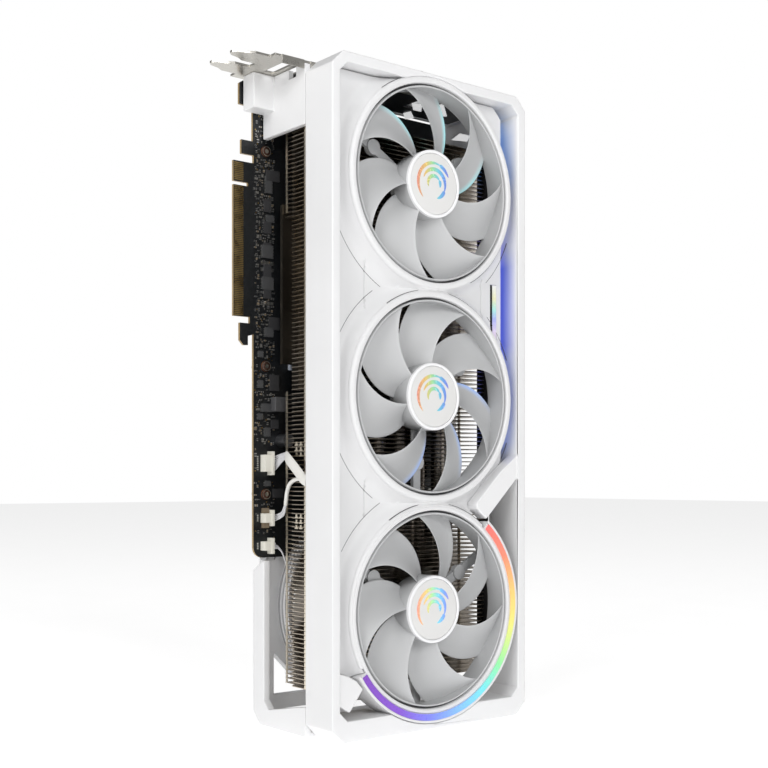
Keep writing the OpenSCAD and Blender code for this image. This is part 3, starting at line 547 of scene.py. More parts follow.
class Builder:
    """Collects points and faces of several closed shapes for one piece."""

    def __init__(self):
        self.points, self.faces = [], []

    def add(self, points, faces):
        base = len(self.points)
        self.points += [tuple(p) for p in points]
        self.faces += [tuple(base + i for i in f) for f in faces]

    def box(self, x0, x1, d0, d1, z0, z1):
        self.add([(x, d, z) for z in (z0, z1) for d in (d0, d1) for x in (x0, x1)],
                 [(0, 1, 5, 4), (1, 3, 7, 5), (3, 2, 6, 7), (2, 0, 4, 6), (4, 5, 7, 6), (1, 0, 2, 3)])

    def turn(self, profile, centre, angles, caps=(), mirror=None):
        """Turns a closed (radius, depth) outline through angles in radians. Without caps it closes up."""
        points = []
        for angle in angles:
            for r, d in profile:
                x, z = around(centre, r, angle)
                points.append((x, mirror - d if mirror else d, z))
        faces = loft(len(angles), len(profile), closed=not caps) + list(caps)
        self.add(points, [f[::-1] for f in faces] if mirror else faces)

    def lathe(self, profile, centre, segments=128, mirror=None):
        """A full turn about a fan's axis."""
        self.turn(outwards(profile), centre, [2 * pi * i / segments for i in range(segments)], (), mirror)

    def sweep(self, profile, centre, start, end, steps):
        """Part of a turn, from one angle to another in degrees."""
        count = len(profile)
        caps = [tuple(range(count))[::-1], tuple(steps * count + j for j in range(count))]
        angles = [radians(start + (end - start) * i / steps) for i in range(steps + 1)]
        self.turn(outwards(profile), centre, angles, caps)

    def disc(self, centre, radius, front, back, sides):
        """A short pin along the depth axis."""
        points = []
        for d in (front, back):
            for i in range(sides):
                x, z = around(centre, radius, 2 * pi * i / sides)
                points.append((x, d, z))
        self.add(points, prism_faces(sides))

    def make(self, name, material, **options):
        mesh = bpy.data.meshes.new(name)
        mesh.from_pydata([place(*p) for p in self.points], [], self.faces)
        mesh.validate()
        return show_mesh(mesh, name, material, **options)


# ---- fans

HUB_R = 18.5
RING_OUT = 53.6
RING_IN = 52.4
BLADES = 7
BLADE_ROWS = 36
BLADE_COLS = 26


def mix(a, b, s):
    return a + (b - a) * s


def lead_angle(t):
    return 17 * t + 12 * t * t


def trail_angle(t):
    return -40 + 25 * t + 9 * t * t


def blade_depth(t, s):
    return mix(mix(3.2, 2.6, t), mix(14.6, 12.6, t), s + 0.22 * sin(pi * s) * 0.9)


def blade_half(s):
    """Half the blade's thickness, full behind the leading edge and thin at the trailing edge."""
    nose = sqrt(max(0, min(1, s / 0.06)))
    tail = sqrt(max(0, min(1, (1 - s) / 0.03)))
    return (0.22 + 0.5 * sin(pi * min(1, s * 1.15 + 0.08))) * nose * tail + 0.03


def blade_mesh(k):
    """One closed blade of fan k about the fan's own axis, as points (x, depth, z) and faces."""
    in_r, out_r = HUB_R - 0.9, RING_IN + 0.5
    hand = fan_hand[k - 1]
    spacing = [0.5 - 0.5 * cos(pi * j / BLADE_COLS) for j in range(BLADE_COLS + 1)]
    loop = 2 * (BLADE_COLS + 1)
    points = []
    for i in range(BLADE_ROWS + 1):
        t = i / BLADE_ROWS
        r = mix(in_r, out_r, t)
        for side, order in ((-1, spacing), (1, spacing[::-1])):
            for s in order:
                a = radians(hand * mix(lead_angle(t), trail_angle(t), s))
                points.append((r * cos(a), blade_depth(t, s) + side * blade_half(s), r * sin(a)))
    faces = loft(BLADE_ROWS + 1, loop)
    tip = BLADE_ROWS * loop
    for j in range(BLADE_COLS):
        ends = (j, loop - 1 - j, loop - 2 - j, j + 1)
        faces.append(ends)
        faces.append(tuple(tip + e for e in ends[::-1]))
    if hand > 0:
        faces = [f[::-1] for f in faces]
    return points, faces


# Blades of fans 1 and 2 whose trailing edges carry a painted reflection of coloured light, and how strongly.
PAINTED_LIGHT_BLADES = {1: {5: 0.8, 4: 1, 3: 0.8}, 2: {5: 0.8, 4: 0.7, 3: 0.9}}


def mark_edge_light(rotor, k, blade_points):
    """Marks where the painted reflection of coloured light lies, near the trailing edge of those blades. The
    blades' points come last in the mesh.
    """
    count = len(rotor.data.vertices)
    marks = rotor.data.attributes.new("painted_edge_light", "FLOAT", "POINT")
    loop = 2 * (BLADE_COLS + 1)
    first = count - BLADES * blade_points
    for blade, strength in PAINTED_LIGHT_BLADES[k].items():
        for i in range(blade_points):
            t = i // loop / BLADE_ROWS
            j = i % loop
            s = (j if j <= BLADE_COLS else loop - 1 - j) / BLADE_COLS
            s = 0.5 - 0.5 * cos(pi * s)
            near = min(1, max(0, (s - 0.84) / 0.14))
            along = sin(pi * min(1, max(0, (t - 0.1) / 0.9)))
            marks.data[first + blade * blade_points + i].value = strength * near * along


HUB_OUTLINE = [(0.02, 2.9), (16.9, 2.9), (16.9, 2.2), (17.05, 1.85), (17.4, 1.72), (17.8, 1.7),
               (18.2, 1.85), (18.42, 2.2), (HUB_R, 2.7), (HUB_R, 15.2), (18.3, 15.5), (16.9, 15.5),
               (16.7, 15.3), (16.7, 4.7), (0.02, 4.7)]
HUB_RIM_OUTLINE = [(16.85, 2.6), (16.85, 1.85), (17, 1.58), (17.35, 1.45), (18, 1.48), (18.4, 1.72),
                   (18.56, 2.2), (18.56, 3.4), (17.4, 3.6)]
RING_OUTLINE = [(RING_IN, 2.6), (RING_IN - 0.35, 1.9), (RING_IN - 0.3, 1.55), (RING_IN, 1.35),
                (RING_IN + 0.4, 1.4), (RING_IN + 0.62, 1.75), (RING_OUT - 0.35, 4.2), (RING_OUT, 6),
                (RING_OUT, 14.3), (RING_OUT - 0.2, 14.5), (RING_IN + 0.2, 14.5), (RING_IN, 14.3)]


def fan_place(k):
    """A fan's axis as (x, z), and the depth that mirrors its shapes if it lies at the rear."""
    return (fan_x, fan_z[k - 1]), rear_mirror_depth if k == 4 else None


def build_rotor(k):
    centre, rear = fan_place(k)
    build = Builder()
    build.lathe(HUB_OUTLINE, centre, mirror=rear)
    build.lathe(RING_OUTLINE, centre, 192, rear)
    points, faces = blade_mesh(k)
    for i in range(BLADES):
        turn = radians(fan_hand[k - 1] * (fan_phase[k - 1] + i * 360 / BLADES))
        ca, sa = cos(turn), sin(turn)
        turned = [(centre[0] + x * ca - z * sa, rear - d if rear else d, centre[1] + x * sa + z * ca)
                  for x, d, z in points]
        build.add(turned, [f[::-1] for f in faces] if rear else faces)
    look = f"fan_{k}" if k in PAINTED_LIGHT_BLADES else "fan"
    body = f"fan_{k}"
    rotor = build.make(f"fan_{k}_rotor_detail", look, body=body, smooth=40, slot="fan_plastic")
    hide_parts(f"fan_{k}_rotor")
    if k in PAINTED_LIGHT_BLADES:
        mark_edge_light(rotor, k, len(points))
    # A lighter ring over the hub's rim: painted highlight.
    rim = Builder()
    rim.lathe(HUB_RIM_OUTLINE, centre, mirror=rear)
    rim.make(f"fan_{k}_hub_rim", "hub_rim_painted_highlight", body=body, slot="fan_plastic")


# ---- shroud

TUNNEL_R = 54.3
TUNNEL_BACK = 16.6
BEZEL_R = 57.3
BEZEL_FOOT_R = 67
BEZEL_TOP = 0.6
PANEL = 9.2
PANEL_BACK = 11.2
RING_INNER = 56.7
LIGHT_SWEEP = (-151, 52)
BADGE = (50, 55, 212.6, 248.9)
# Outline of the shroud's face as (x, z), anticlockwise from the lower left.
SHROUD_LINE = [(-63.6, 37), (-63.6, 345.4), (-57.6, 351.4), (52.3, 351.4), (58.3, 345.4), (58.3, 143),
               (54.4, 138.4), (33.6, 119.4), (fan_x, fan_z[2]), (-52.6, 32.4), (-58, 34.8)]
GROOVES_X = (-42, 42.6)
GROOVE_HALF = 0.28
GROOVE_DEEP = 0.5
GROOVE_SPANS = ((116, 152), (206, 274))
# The panel's grid: rows between two fans' axes, and the rows it has about the middle of fans 1 and 2.
ROWS_PER_FAN = 78
GRID_ROWS = range(-142, 76)


def shroud_depth(x, z):
    """Depth of the shroud's face: a flat panel with a hollow rise up to each bezel."""
    total = 0
    for axis_z in fan_z[:3]:
        r = hypot(x - fan_x, z - axis_z)
        t = min(1, max(0, (r - BEZEL_R) / (BEZEL_FOOT_R - BEZEL_R)))
        total += ((PANEL - BEZEL_TOP) * (1 - t) ** 2.5) ** 3
    return PANEL - min(PANEL - BEZEL_TOP - 0.15, total ** (1 / 3))


def inside(outline, x, z):
    """Whether a point lies inside a closed outline."""
    odd = False
    for (x0, z0), (x1, z1) in zip(outline, outline[1:] + outline[:1]):
        if (z0 > z) != (z1 > z) and x < (x1 - x0) * (z - z0) / (z1 - z0) + x0:
            odd = not odd
    return odd


def grid_lines(low, high, step, extra):
    """Evenly spaced values with the lines of each groove put in between them."""
    lines = [low + step * i for i in range(int((high - low) / step) + 2)]
    for at in extra:
        lines = [v for v in lines if abs(v - at) > 0.9]
        for side in (-1, 1):
            lines += [at + side * (GROOVE_HALF + 0.12), at + side * (GROOVE_HALF - 0.1)]
    return sorted(lines)


def in_panel_line(x, z):
    """Whether a point lies in one of the two long grooves beside the fans."""
    for at in GROOVES_X:
        if abs(x - at) < GROOVE_HALF:
            return axis_distance(x, z) > BEZEL_FOOT_R - 4 and any(a < z < b for a, b in GROOVE_SPANS)
    return False


def axis_distance(x, z):
    """Distance from the nearest front fan's axis."""
    return min(hypot(x - fan_x, z - axis_z) for axis_z in fan_z[:3])


def panel_grid(bm):
    """A grid of faces over the whole shroud, open inside the bezels, which it meets in a clean circle."""
    step = (fan_z[0] - fan_z[1]) / ROWS_PER_FAN
    middle = (fan_z[0] + fan_z[1]) / 2
    xs = grid_lines(-64.5, 59.5, 1.5, GROOVES_X)
    hem = BEZEL_R + 0.3
    rows = []
    for j in GRID_ROWS:
        z = middle + step * j
        row = []
        for x in xs:
            px, pz = x, z
            for axis_z in fan_z[:3]:
                r = hypot(x - fan_x, z - axis_z)
                if BEZEL_R - 3 < r < hem:
                    px = fan_x + (x - fan_x) * hem / r
                    pz = axis_z + (z - axis_z) * hem / r
            depth = shroud_depth(px, pz) + (GROOVE_DEEP if in_panel_line(px, pz) else 0)
            row.append(bm.verts.new((px, depth, pz)))
        rows.append(row)
    for low, high in zip(rows, rows[1:]):
        for i in range(len(xs) - 1):
            corners = (low[i], low[i + 1], high[i + 1], high[i])
            if min(axis_distance(v.co.x, v.co.z) for v in corners) > BEZEL_R:
                bm.faces.new(corners)


def cut_panel(bm):
    """Trims the grid to the shroud's outline and opens the badge's pocket."""
    cuts = list(zip(SHROUD_LINE, SHROUD_LINE[1:] + SHROUD_LINE[:1]))
    cuts += [((x, 200), (x, 260)) for x in BADGE[:2]]
    cuts += [((30, z), (60, z)) for z in BADGE[2:]]
    reach = 6
    for (x0, z0), (x1, z1) in cuts:
        normal = Vector((z1 - z0, 0, x0 - x1)).normalized()
        near = [f for f in bm.faces
                if min(x0, x1) - reach < f.calc_center_median().x < max(x0, x1) + reach
                and min(z0, z1) - reach < f.calc_center_median().z < max(z0, z1) + reach]
        edges = list({e for f in near for e in f.edges})
        verts = list({v for f in near for v in f.verts})
        bmesh.ops.bisect_plane(bm, geom=near + edges + verts, plane_co=(x0, 0, z0), plane_no=normal,
                               dist=1e-4)
    outside = []
    for face in bm.faces:
        c = face.calc_center_median()
        in_badge = BADGE[0] < c.x < BADGE[1] and BADGE[2] < c.z < BADGE[3]
        if not inside(SHROUD_LINE, c.x, c.z) or in_badge:
            outside.append(face)
    bmesh.ops.delete(bm, geom=outside, context="FACES")
    loose = [v for v in bm.verts if not v.link_faces]
    bmesh.ops.delete(bm, geom=loose, context="VERTS")


def build_shroud_panel():
    bm = bmesh.new()
    panel_grid(bm)
    cut_panel(bm)
    made = bmesh.ops.extrude_face_region(bm, geom=list(bm.faces))
    for v in made["geom"]:
        if isinstance(v, bmesh.types.BMVert):
            v.co.y = PANEL_BACK
    bmesh.ops.recalc_face_normals(bm, faces=bm.faces)
    for v in bm.verts:
        v.co = Vector(place(v.co.x, v.co.y, v.co.z))
    mesh = bpy.data.meshes.new("front_shroud_panel")
    bm.to_mesh(mesh)
    bm.free()
    panel = show_mesh(mesh, "front_shroud_panel", "shroud", slot="white_shroud", smooth=40)
    round_edges(panel, 0.35, 60)
    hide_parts("front_shroud_bracket_end", "front_shroud_middle", "front_shroud_tail")


# The rim's lip where the tunnel meets it, common to every bezel.
TUNNEL_LIP = [(TUNNEL_R, TUNNEL_BACK), (TUNNEL_R, 1.5), (TUNNEL_R + 0.12, 1.05), (TUNNEL_R + 0.45, 0.72),
              (TUNNEL_R + 0.95, BEZEL_TOP)]
BEZEL_FLANK = [(BEZEL_R - 0.2, 0.72), (BEZEL_R + 0.3, 1.05), (BEZEL_R + 0.75, 1.75), (BEZEL_R + 1.1, 2.8),
               (BEZEL_R + 0.3, 5), (BEZEL_R, 6.5), (BEZEL_R, TUNNEL_BACK)]
SLIM_FLANK = [(RING_INNER - 0.5, BEZEL_TOP), (RING_INNER - 0.1, 0.8), (RING_INNER, 1.2),
              (RING_INNER, TUNNEL_BACK)]
GAP_OUTLINE = [(RING_OUT + 0.12, 3.4), (TUNNEL_R + 0.02, 3.4), (TUNNEL_R + 0.02, 5.2),
               (RING_OUT + 0.12, 5.2)]
REAR_RIM_OUTLINE = [(TUNNEL_R + 0.02, 2.4), (TUNNEL_R + 0.1, 0.95), (TUNNEL_R + 0.4, 0.5),
                    (TUNNEL_R + 0.9, 0.35), (TUNNEL_R + 1.9, 0.35), (TUNNEL_R + 2.4, 0.5),
                    (TUNNEL_R + 2.65, 0.9), (TUNNEL_R + 2.75, 2.4)]


def build_bezels():
    """The round tunnels with their raised rims. The tail fan's rim makes room for the ring light."""
    tail = (fan_x, fan_z[2])
    build = Builder()
    for k in (1, 2):
        build.lathe(TUNNEL_LIP + [(BEZEL_R - 0.9, BEZEL_TOP)] + BEZEL_FLANK, (fan_x, fan_z[k - 1]), 256)
    build.lathe(TUNNEL_LIP + SLIM_FLANK, tail, 256)
    build.sweep([(RING_INNER - 0.3, 1)] + BEZEL_FLANK + [(RING_INNER - 0.3, TUNNEL_BACK)], tail,
                LIGHT_SWEEP[1] + 0.2, LIGHT_SWEEP[0] + 360 - 0.2, 180)
    build.make("front_fan_bezels", "shroud", smooth=50, slot="white_shroud")
    # A dark ring deep in the gap between each rotor's ring and its tunnel: painted shade.
    gap = Builder()
    for k in FANS:
        centre, rear = fan_place(k)
        gap.lathe(GAP_OUTLINE, centre, 192, rear)
    gap.make("fan_ring_gap_shade", "gap", smooth=30, slot="white_shroud")
    rear = Builder()
    rear.lathe(REAR_RIM_OUTLINE, (fan_x, fan_z[3]), 256, rear_mirror_depth)
    rear.make("rear_fan_bezel", "shroud", smooth=50, slot="white_shroud")
    ribs = Builder()
    for depth in (61.4, 64.6, 67.8):
        ribs.lathe([(BEZEL_R - 0.1, depth), (BEZEL_R + 0.5, depth + 0.1), (BEZEL_R + 0.5, depth + 1),
                    (BEZEL_R - 0.1, depth + 1.1)], (fan_x, fan_z[3]), 192)
    ribs.make("rear_tunnel_ribs", "seam_grey", smooth=40, slot="white_shroud")


# Lines on the metal back cover, each from one (x, z) to another.
BACK_LINES = [((-62, 132), (-30, 164)), ((-30, 164), (40, 164)), ((40, 164), (60, 184)),
              ((-62, 138), (-34, 166)), ((-62, 282), (-46, 282)), ((34, 330), (62, 302)),
              ((34, 336), (62, 308))]
BACK_LINE_HALF = 0.3


def build_back_lines():
    """Shallow lines that cross the metal back cover."""
    lines = Builder()
    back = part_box("backplate")[1].y / MM - front_y
    for (x0, z0), (x1, z1) in BACK_LINES:
        length = hypot(x1 - x0, z1 - z0)
        nx, nz = -(z1 - z0) / length * BACK_LINE_HALF, (x1 - x0) / length * BACK_LINE_HALF
        outline = [(x0 - nx, z0 - nz), (x1 - nx, z1 - nz), (x1 + nx, z1 + nz), (x0 + nx, z0 + nz)]
        lines.add([(x, d, z) for d in (back - 0.3, back + 0.03) for x, z in outline], prism_faces(4))
    lines.make("backplate_lines", "seam_grey", slot="white_frame", smooth=20)


def band(inner, outer, front, back):
    """The outline of a flat ring."""
    return [(inner, front), (outer, front), (outer, back), (inner, back)]


# Angles of the parting lines round each front fan's bezel foot, and of the dark line round its rim.
FOOT_ARCS = [[(196, 243), (-47, -14)], [(124, 164), (196, 236), (-44, -16), (18, 46)], [(118, 150)]]
RIM_ARCS = [(-62, 128), (-52, 124), (52, 122)]


def build_shroud_arcs():
    """Fine parting lines that run round the feet and the rims of the bezels."""
    flush = PANEL - 0.03
    build = Builder()
    for axis_z, arcs in zip(fan_z, FOOT_ARCS):
        for start, end in arcs:
            build.sweep(band(BEZEL_FOOT_R - 0.25, BEZEL_FOOT_R + 0.05, flush, PANEL + 0.4),
                        (fan_x, axis_z), start, end, 40)
    for axis_z, (start, end) in zip(fan_z, RIM_ARCS):
        build.sweep(band(BEZEL_R + 1, BEZEL_R + 1.25, 2.3, 3.6), (fan_x, axis_z), start, end, 90)
    build.make("shroud_parting_lines", "gap", smooth=30, slot="white_shroud")
    marks = Builder()
    marks.box(-47.5, -35, flush, PANEL + 0.4, 342.4, 343.4)
    marks.lathe(band(2.7, 3.1, flush, PANEL + 0.4), (50, 337), 48)
    marks.make("shroud_accents", "seam_grey", smooth=30, slot="white_shroud")


# ---- caps and marks

CAP_OUTLINE = [(0.02, 1.82), (8, 1.84), (15.8, 1.9), (16.4, 1.98), (16.72, 2.25), (16.75, 2.88), (0.02, 2.88)]
# Each arc of the mark: inner and outer radius, and the angles from which and to which it runs clockwise.
MARK_ARCS = [(3.4, 5.4, 205, -20), (6.9, 9.1, 160, -75), (10.4, 12.4, 225, 25)]
MARK_FRONT, MARK_BACK = 1.79, 1.88


def mark_half(share, widest):
    """Half the width of a mark's arc, which swells from its start and tapers to its end."""
    if share < 0.8:
        swell = sin(pi * min(1, share * 1.25)) ** 0.7
    else:
        swell = sin(pi * (1 - share) / 0.4) ** 0.7
    return max(0.08, min(widest, widest * (0.12 + swell)))


def build_cap(k):
    """The hub's cap with a mark of three nested open arcs."""
    centre, rear = fan_place(k)
    build = Builder()
    build.lathe(CAP_OUTLINE, centre, 128, rear)
    cap = build.make(f"fan_{k}_cap_detail", "cap", body=f"fan_{k}", slot="cap_face")
    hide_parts(f"fan_{k}_cap")
    mark = Builder()
    steps = 40
    for inner, outer, start, end in MARK_ARCS:
        middle = (inner + outer) / 2
        points = []
        for i in range(steps + 1):
            share = i / steps
            half = mark_half(share, (outer - inner) / 2)
            for r, d in band(middle - half, middle + half, MARK_FRONT, MARK_BACK):
                x, z = around(centre, r, radians(start - (start - end) * share))
                points.append((x, rear - d if rear else d, z))
        faces = loft(steps + 1, 4) + [(0, 1, 2, 3), tuple(steps * 4 + j for j in (3, 2, 1, 0))]
        mark.add(points, faces if rear else [f[::-1] for f in faces])
    mark.make(f"fan_{k}_mark", f"mark_{k}", body=f"fan_{k}", slot="cap_face", smooth=20)


# ---- lights

def build_painted_rail_glow():
    """A thin sheet on the inner face of the socket side rail that carries the painted glow cast by the
    channel light behind the shroud.
    """
    build = Builder()
    x = side_x - 6
    build.box(x - 0.22, x + 0.05, 0.9, 24, 140, card_top - 12)
    build.make("painted_rail_glow", "glow", slot="light_diffuser")


LIGHT_RIM_OUTLINE = [(60.75, 0.9), (60.75, 0.25), (61, 0.08), (61.6, 0.08), (61.85, 0.3), (61.9, 1.2)]


def build_ring_trim():
    """The white outer border of the ring light and the dark seam inside it."""
    centre = (fan_x, fan_z[2])
    rim = Builder()
    rim.sweep(LIGHT_RIM_OUTLINE, centre, LIGHT_SWEEP[0] + 2.6, LIGHT_SWEEP[1] - 1.6, 200)
    rim.make("ring_light_rim", "shroud", slot="white_shroud")
    dark = Builder()
    dark.sweep(band(60.42, 60.74, 0.45, 0.85), centre, LIGHT_SWEEP[0] + 3, LIGHT_SWEEP[1] - 2, 200)
    dark.make("ring_light_seam", "gap", slot="white_shroud")


# ---- cooler details

FIN_PITCH = 2.4
FIN_LOW = 24
FIN_HIGH = 330
FIN_LEVELS = [FIN_LOW + i * FIN_PITCH for i in range(int((FIN_HIGH - FIN_LOW) / FIN_PITCH))]
FIN_LEFT, FIN_RIGHT = -64.5, 57.5
# Over the processor the fins are shallower: its height and half the length of that stretch.
GPU_Z, GPU_HALF = 232, 49

# Dark bars inside the bracket end that paint the shade there, as x and depth spans.
BRACKET_SHADE_BARS = [(-66, 58.6, 25.4, 31), (-66, 58.6, 45, 56), (-66, -16, 31, 45), (-9, 14, 31, 45),
              (24, 58.6, 31, 45)]
# Patches of painted light behind fan 1, where light falls in through the bracket's openings, as (x, depth) at
# the bracket end and (depth, z) at the side.
BRACKET_LIGHT_PATCHES = [[(22.2, 54.3), (23.5, 48.8), (33.1, 57.6), (30.5, 62.7)],
                   [(13.9, 36.3), (19.8, 34.4), (28.3, 45), (22.3, 45.3)],
                   [(27.6, 31.1), (28.8, 25.8), (46.3, 42.6), (42.8, 45.4)]]
SIDE_LIGHT_PATCH = [(51.5, 342.8), (43.6, 345.1), (34.8, 341.8), (37.4, 338.8)]


def fin_tab(build, edge, front, back, neck, z):
    """One folded tab on a fin's edge, with a narrower neck that reaches the next fin."""
    x0, x1 = edge
    top = z + FIN_PITCH - 0.35
    build.box(x0, x1, front, back, z + 0.1, top)
    build.box(x0, x1, front + neck, back - neck, top, z + FIN_PITCH + 0.1)


def build_fin_tabs():
    """Folded tabs that link the fins into upright columns along their edges."""
    build = Builder()
    left, right = (FIN_LEFT - 0.12, FIN_LEFT + 0.2), (FIN_RIGHT - 0.2, FIN_RIGHT + 0.12)
    rear_left = (-60.12, -59.8)
    for z in FIN_LEVELS:
        fin_tab(build, left, 30.3, 32.2, 0.7, z)
        fin_tab(build, right, 43, 45.5, 0.7, z)
        if abs(z - GPU_Z) >= GPU_HALF:
            for edge in (rear_left, right):
                fin_tab(build, edge, 54.7, 56.4, 0.5, z)
    for patch_z in (148.6, 109.6):
        for row in range(3):
            for column in range(2):
                d, z = 33.4 + column * 4.1, patch_z + row * 2.9
                build.box(-64.9, -64.3, d, d + 3.2, z, z + 0.7)
                build.box(-64.9, -64.3, d + 0.9, d + 2.3, z + 0.7, z + 2.1)
    # The tabs are lighter than the fins: painted highlight.
    build.make("fin_tabs", "nickel_painted_highlight", slot="nickel", smooth=20)


def build_painted_fin_shade():
    """Painted shade: dark pieces along the fins' right edge and inside the bracket end. Then painted light:
    glowing patches where light falls in through the bracket's openings.
    """
    dark = Builder()
    # Painted shade: dark boxes along the fins' right edges.
    for z in FIN_LEVELS:
        dark.box(57.3, 58.4, 23.6, 28.2, z - 0.1, z + 1.6)
    dark.box(58, 58.5, 19.6, 29, FIN_LOW, FIN_HIGH)
    for x0, x1, d0, d1 in BRACKET_SHADE_BARS:
        dark.box(x0, x1, d0, d1, 353.4, 354.6)
    dark.make("fin_edge_painted_shade", "black_plastic", slot="chip_black", smooth=20)
    # Glowing patches: painted light falling in through the bracket's openings.
    lit = Builder()
    for outline in BRACKET_LIGHT_PATCHES:
        lit.add([(x, d, z) for z in (353, 353.3) for x, d in outline], prism_faces(len(outline)))
    lit.add([(x, d, z) for x in (57.6, 57.9) for d, z in SIDE_LIGHT_PATCH], prism_faces(len(SIDE_LIGHT_PATCH)))
    lit.make("bracket_painted_light", "painted_daylight", slot="white_shroud", smooth=20)


# ---- board details

random.seed(7)

SCREW_X = -67.2
SCREW_LEVELS = (318, 199, 128)
# Larger chips on the visible strip: x, z, width and height.
STRIP_CHIPS = [(-66.4, 262.5, 7.2, 7.2), (-66.2, 245, 7.4, 7), (-65.5, 300, 4.2, 10),
               (-64.6, 281, 5, 4), (-65.4, 218, 5.4, 5.4), (-66, 176, 8.6, 4.6),
               (-70.8, 205.5, 3, 3.6), (-71, 189, 3, 4.4), (-66.5, 162.5, 3.6, 5),
               (-71.2, 171, 2.8, 3.4), (-66.2, 134, 3.6, 3)]
# Places where no small part may lie: x, z and half of the width and height.
STRIP_KEPT_CLEAR = [(-66, 253.5, 6, 3.2)] + [(SCREW_X, z, 4, 4) for z in SCREW_LEVELS] + [
    (-67.6, 145.2, 5.6, 9.5), (-67.6, 114.9, 5.6, 6), (-67.6, 99.5, 5.6, 6)]
SMALL_PARTS = 330
VIAS = 160


def on_board(build, x0, x1, tall, z0, z1):
    """A box that stands on the board's front face."""
    build.box(x0, x1, board_depth - tall, board_depth, z0, z1)


def build_strip_chips(chips, legs, ends):
    for x, z, w, h in STRIP_CHIPS:
        on_board(chips, x - w / 2, x + w / 2, 1, z - h / 2, z + h / 2)
        for i in range(int(h / 0.8)):
            at = z - h / 2 + 0.4 + i * 0.8
            for sx in (-1, 1):
                foot = x + sx * (w / 2 + 0.3)
                on_board(legs, foot - 0.3, foot + 0.3, 0.35, at - 0.14, at + 0.14)
    for z0 in (251.6, 255.2, 233):
        for i in range(9):
            on_board(ends, -70.4 + i * 0.95, -69.9 + i * 0.95, 0.3, z0, z0 + 2)


def part_slice(build, spot, size, upright, at, half, tall):
    """A slice of a small part. at and half are shares of its long side, from its middle."""
    (x, z), (w, h) = spot, size
    if upright:
        on_board(build, x - w / 2, x + w / 2, tall, z + h * (at - half), z + h * (at + half))
    else:
        on_board(build, x + w * (at - half), x + w * (at + half), tall, z - h / 2, z + h / 2)


def build_small_parts():
    """Small surface-mounted parts on the strip of board that shows beside the fins."""
    bodies = {"ceramic": Builder(), "chip": Builder(), "ceramic_pale": Builder()}
    ends, pads, legs = Builder(), Builder(), Builder()
    build_strip_chips(bodies["chip"], legs, ends)
    taken = [(x, z, w / 2 + 1.2, h / 2 + 0.9) for x, z, w, h in STRIP_CHIPS] + STRIP_KEPT_CLEAR
    placed = 0
    while placed < SMALL_PARTS:
        x = random.uniform(-74.2, -61.8)
        z = random.choice((random.uniform(104, 345), random.uniform(205, 312)))
        sizes = ((1, 0.5), (1, 0.5), (1.6, 0.8), (1.6, 0.8), (2, 1.25))
        long_side, short_side = random.choice(sizes)
        upright = random.random() < 0.5
        w, h = (short_side, long_side) if upright else (long_side, short_side)
        if x + w / 2 > -61.4:
            continue
        if any(abs(x - tx) < tw + w / 2 and abs(z - tz) < th + h / 2 for tx, tz, tw, th in taken):
            continue
        taken.append((x, z, w / 2 + 0.28, h / 2 + 0.28))
        tall = 0.32 if long_side < 1.5 else 0.55
        kind = random.choice(("ceramic", "chip", "chip", "ceramic_pale"))
        part_slice(bodies[kind], (x, z), (w, h), upright, 0, 0.26, tall)
        for side in (-1, 1):
            part_slice(ends, (x, z), (w, h), upright, side * 0.39, 0.12, tall + 0.03)
        placed += 1
    for _ in range(VIAS):
        x, z = random.uniform(-74.3, -61.6), random.uniform(102, 346)
        if not any(abs(x - tx) < tw and abs(z - tz) < th for tx, tz, tw, th in taken):
            pads.disc((x, z), 0.42, board_depth - 0.05, board_depth + 0.02, 10)
    bodies["ceramic"].make("board_capacitors", "ceramic", slot="chip_black")
    bodies["ceramic_pale"].make("board_inductors", "ceramic_pale", slot="chip_black")
    bodies["chip"].make("board_resistors", "chip_grey", slot="chip_black")
    ends.make("board_part_ends", "solder", slot="gold_contact")
    legs.make("board_chip_legs", "solder", slot="gold_contact")
    pads.make("board_vias", "gold", slot="gold_contact")


def build_screw_rings():
    """Bare copper lands and recessed heads of the board's screws."""
    rings, heads = Builder(), Builder()
    front = board_depth - 1.2
    head = [(0.02, front + 0.7), (1.1, front + 0.7), (1.2, front - 0.02), (2.3, front - 0.04),
            (2.66, front + 0.2), (2.72, front + 0.5), (2.72, front + 0.8), (0.02, front + 1)]
    for z in SCREW_LEVELS:
        rings.lathe(band(2.75, 3.1, board_depth - 0.12, board_depth + 0.02), (SCREW_X, z), 48)
        heads.lathe(head, (SCREW_X, z), 48)
    rings.make("board_screw_lands", "copper", slot="gold_contact")
    heads.make("board_screw_recesses", "copper_dark", slot="steel")


# ---- wiring

# The fan headers: z, height and number of wires.
HEADERS = [(145.2, 9.4, 7), (114.9, 5.2, 4), (99.5, 5, 4)]
HEADER_X = -70.6
PLUG_X = -64
FRONT_LEAD = [(-65.2, 48.4, 148.9), (-66.8, 45.6, 148.4), (-68, 41, 146.2),
              (-68.2, 34, 141.2), (-68.2, 28, 136.6), (-68.2, 24.9, 135.6)]
LOOP_LEAD = [(-65, 49.2, 122.4), (-65.8, 47.6, 125.2), (-66.4, 45.6, 130), (-66.2, 43.4, 133.8),
             (-65.95, 39, 136), (-65.9, 33, 136.6), (-65.9, 24.9, 136.6)]
REAR_LEAD = [(-61.2, 62.8, 98.8), (-59.4, 61.2, 95.8), (-58.2, 59.4, 90), (-57.4, 58.4, 83),
             (-56.6, 58.3, 73.6)]
# For each header: where its wires bend, where they gather and how far apart they are there.
WIRE_BENDS = [(-61.9, 57.5, 148.4), (-61.9, 57, 117.2), (-61.9, 63, 98.9)]
WIRE_ENDS = [(FRONT_LEAD[0], 1.6), (LOOP_LEAD[0], 0.7), (REAR_LEAD[0], 0.55)]


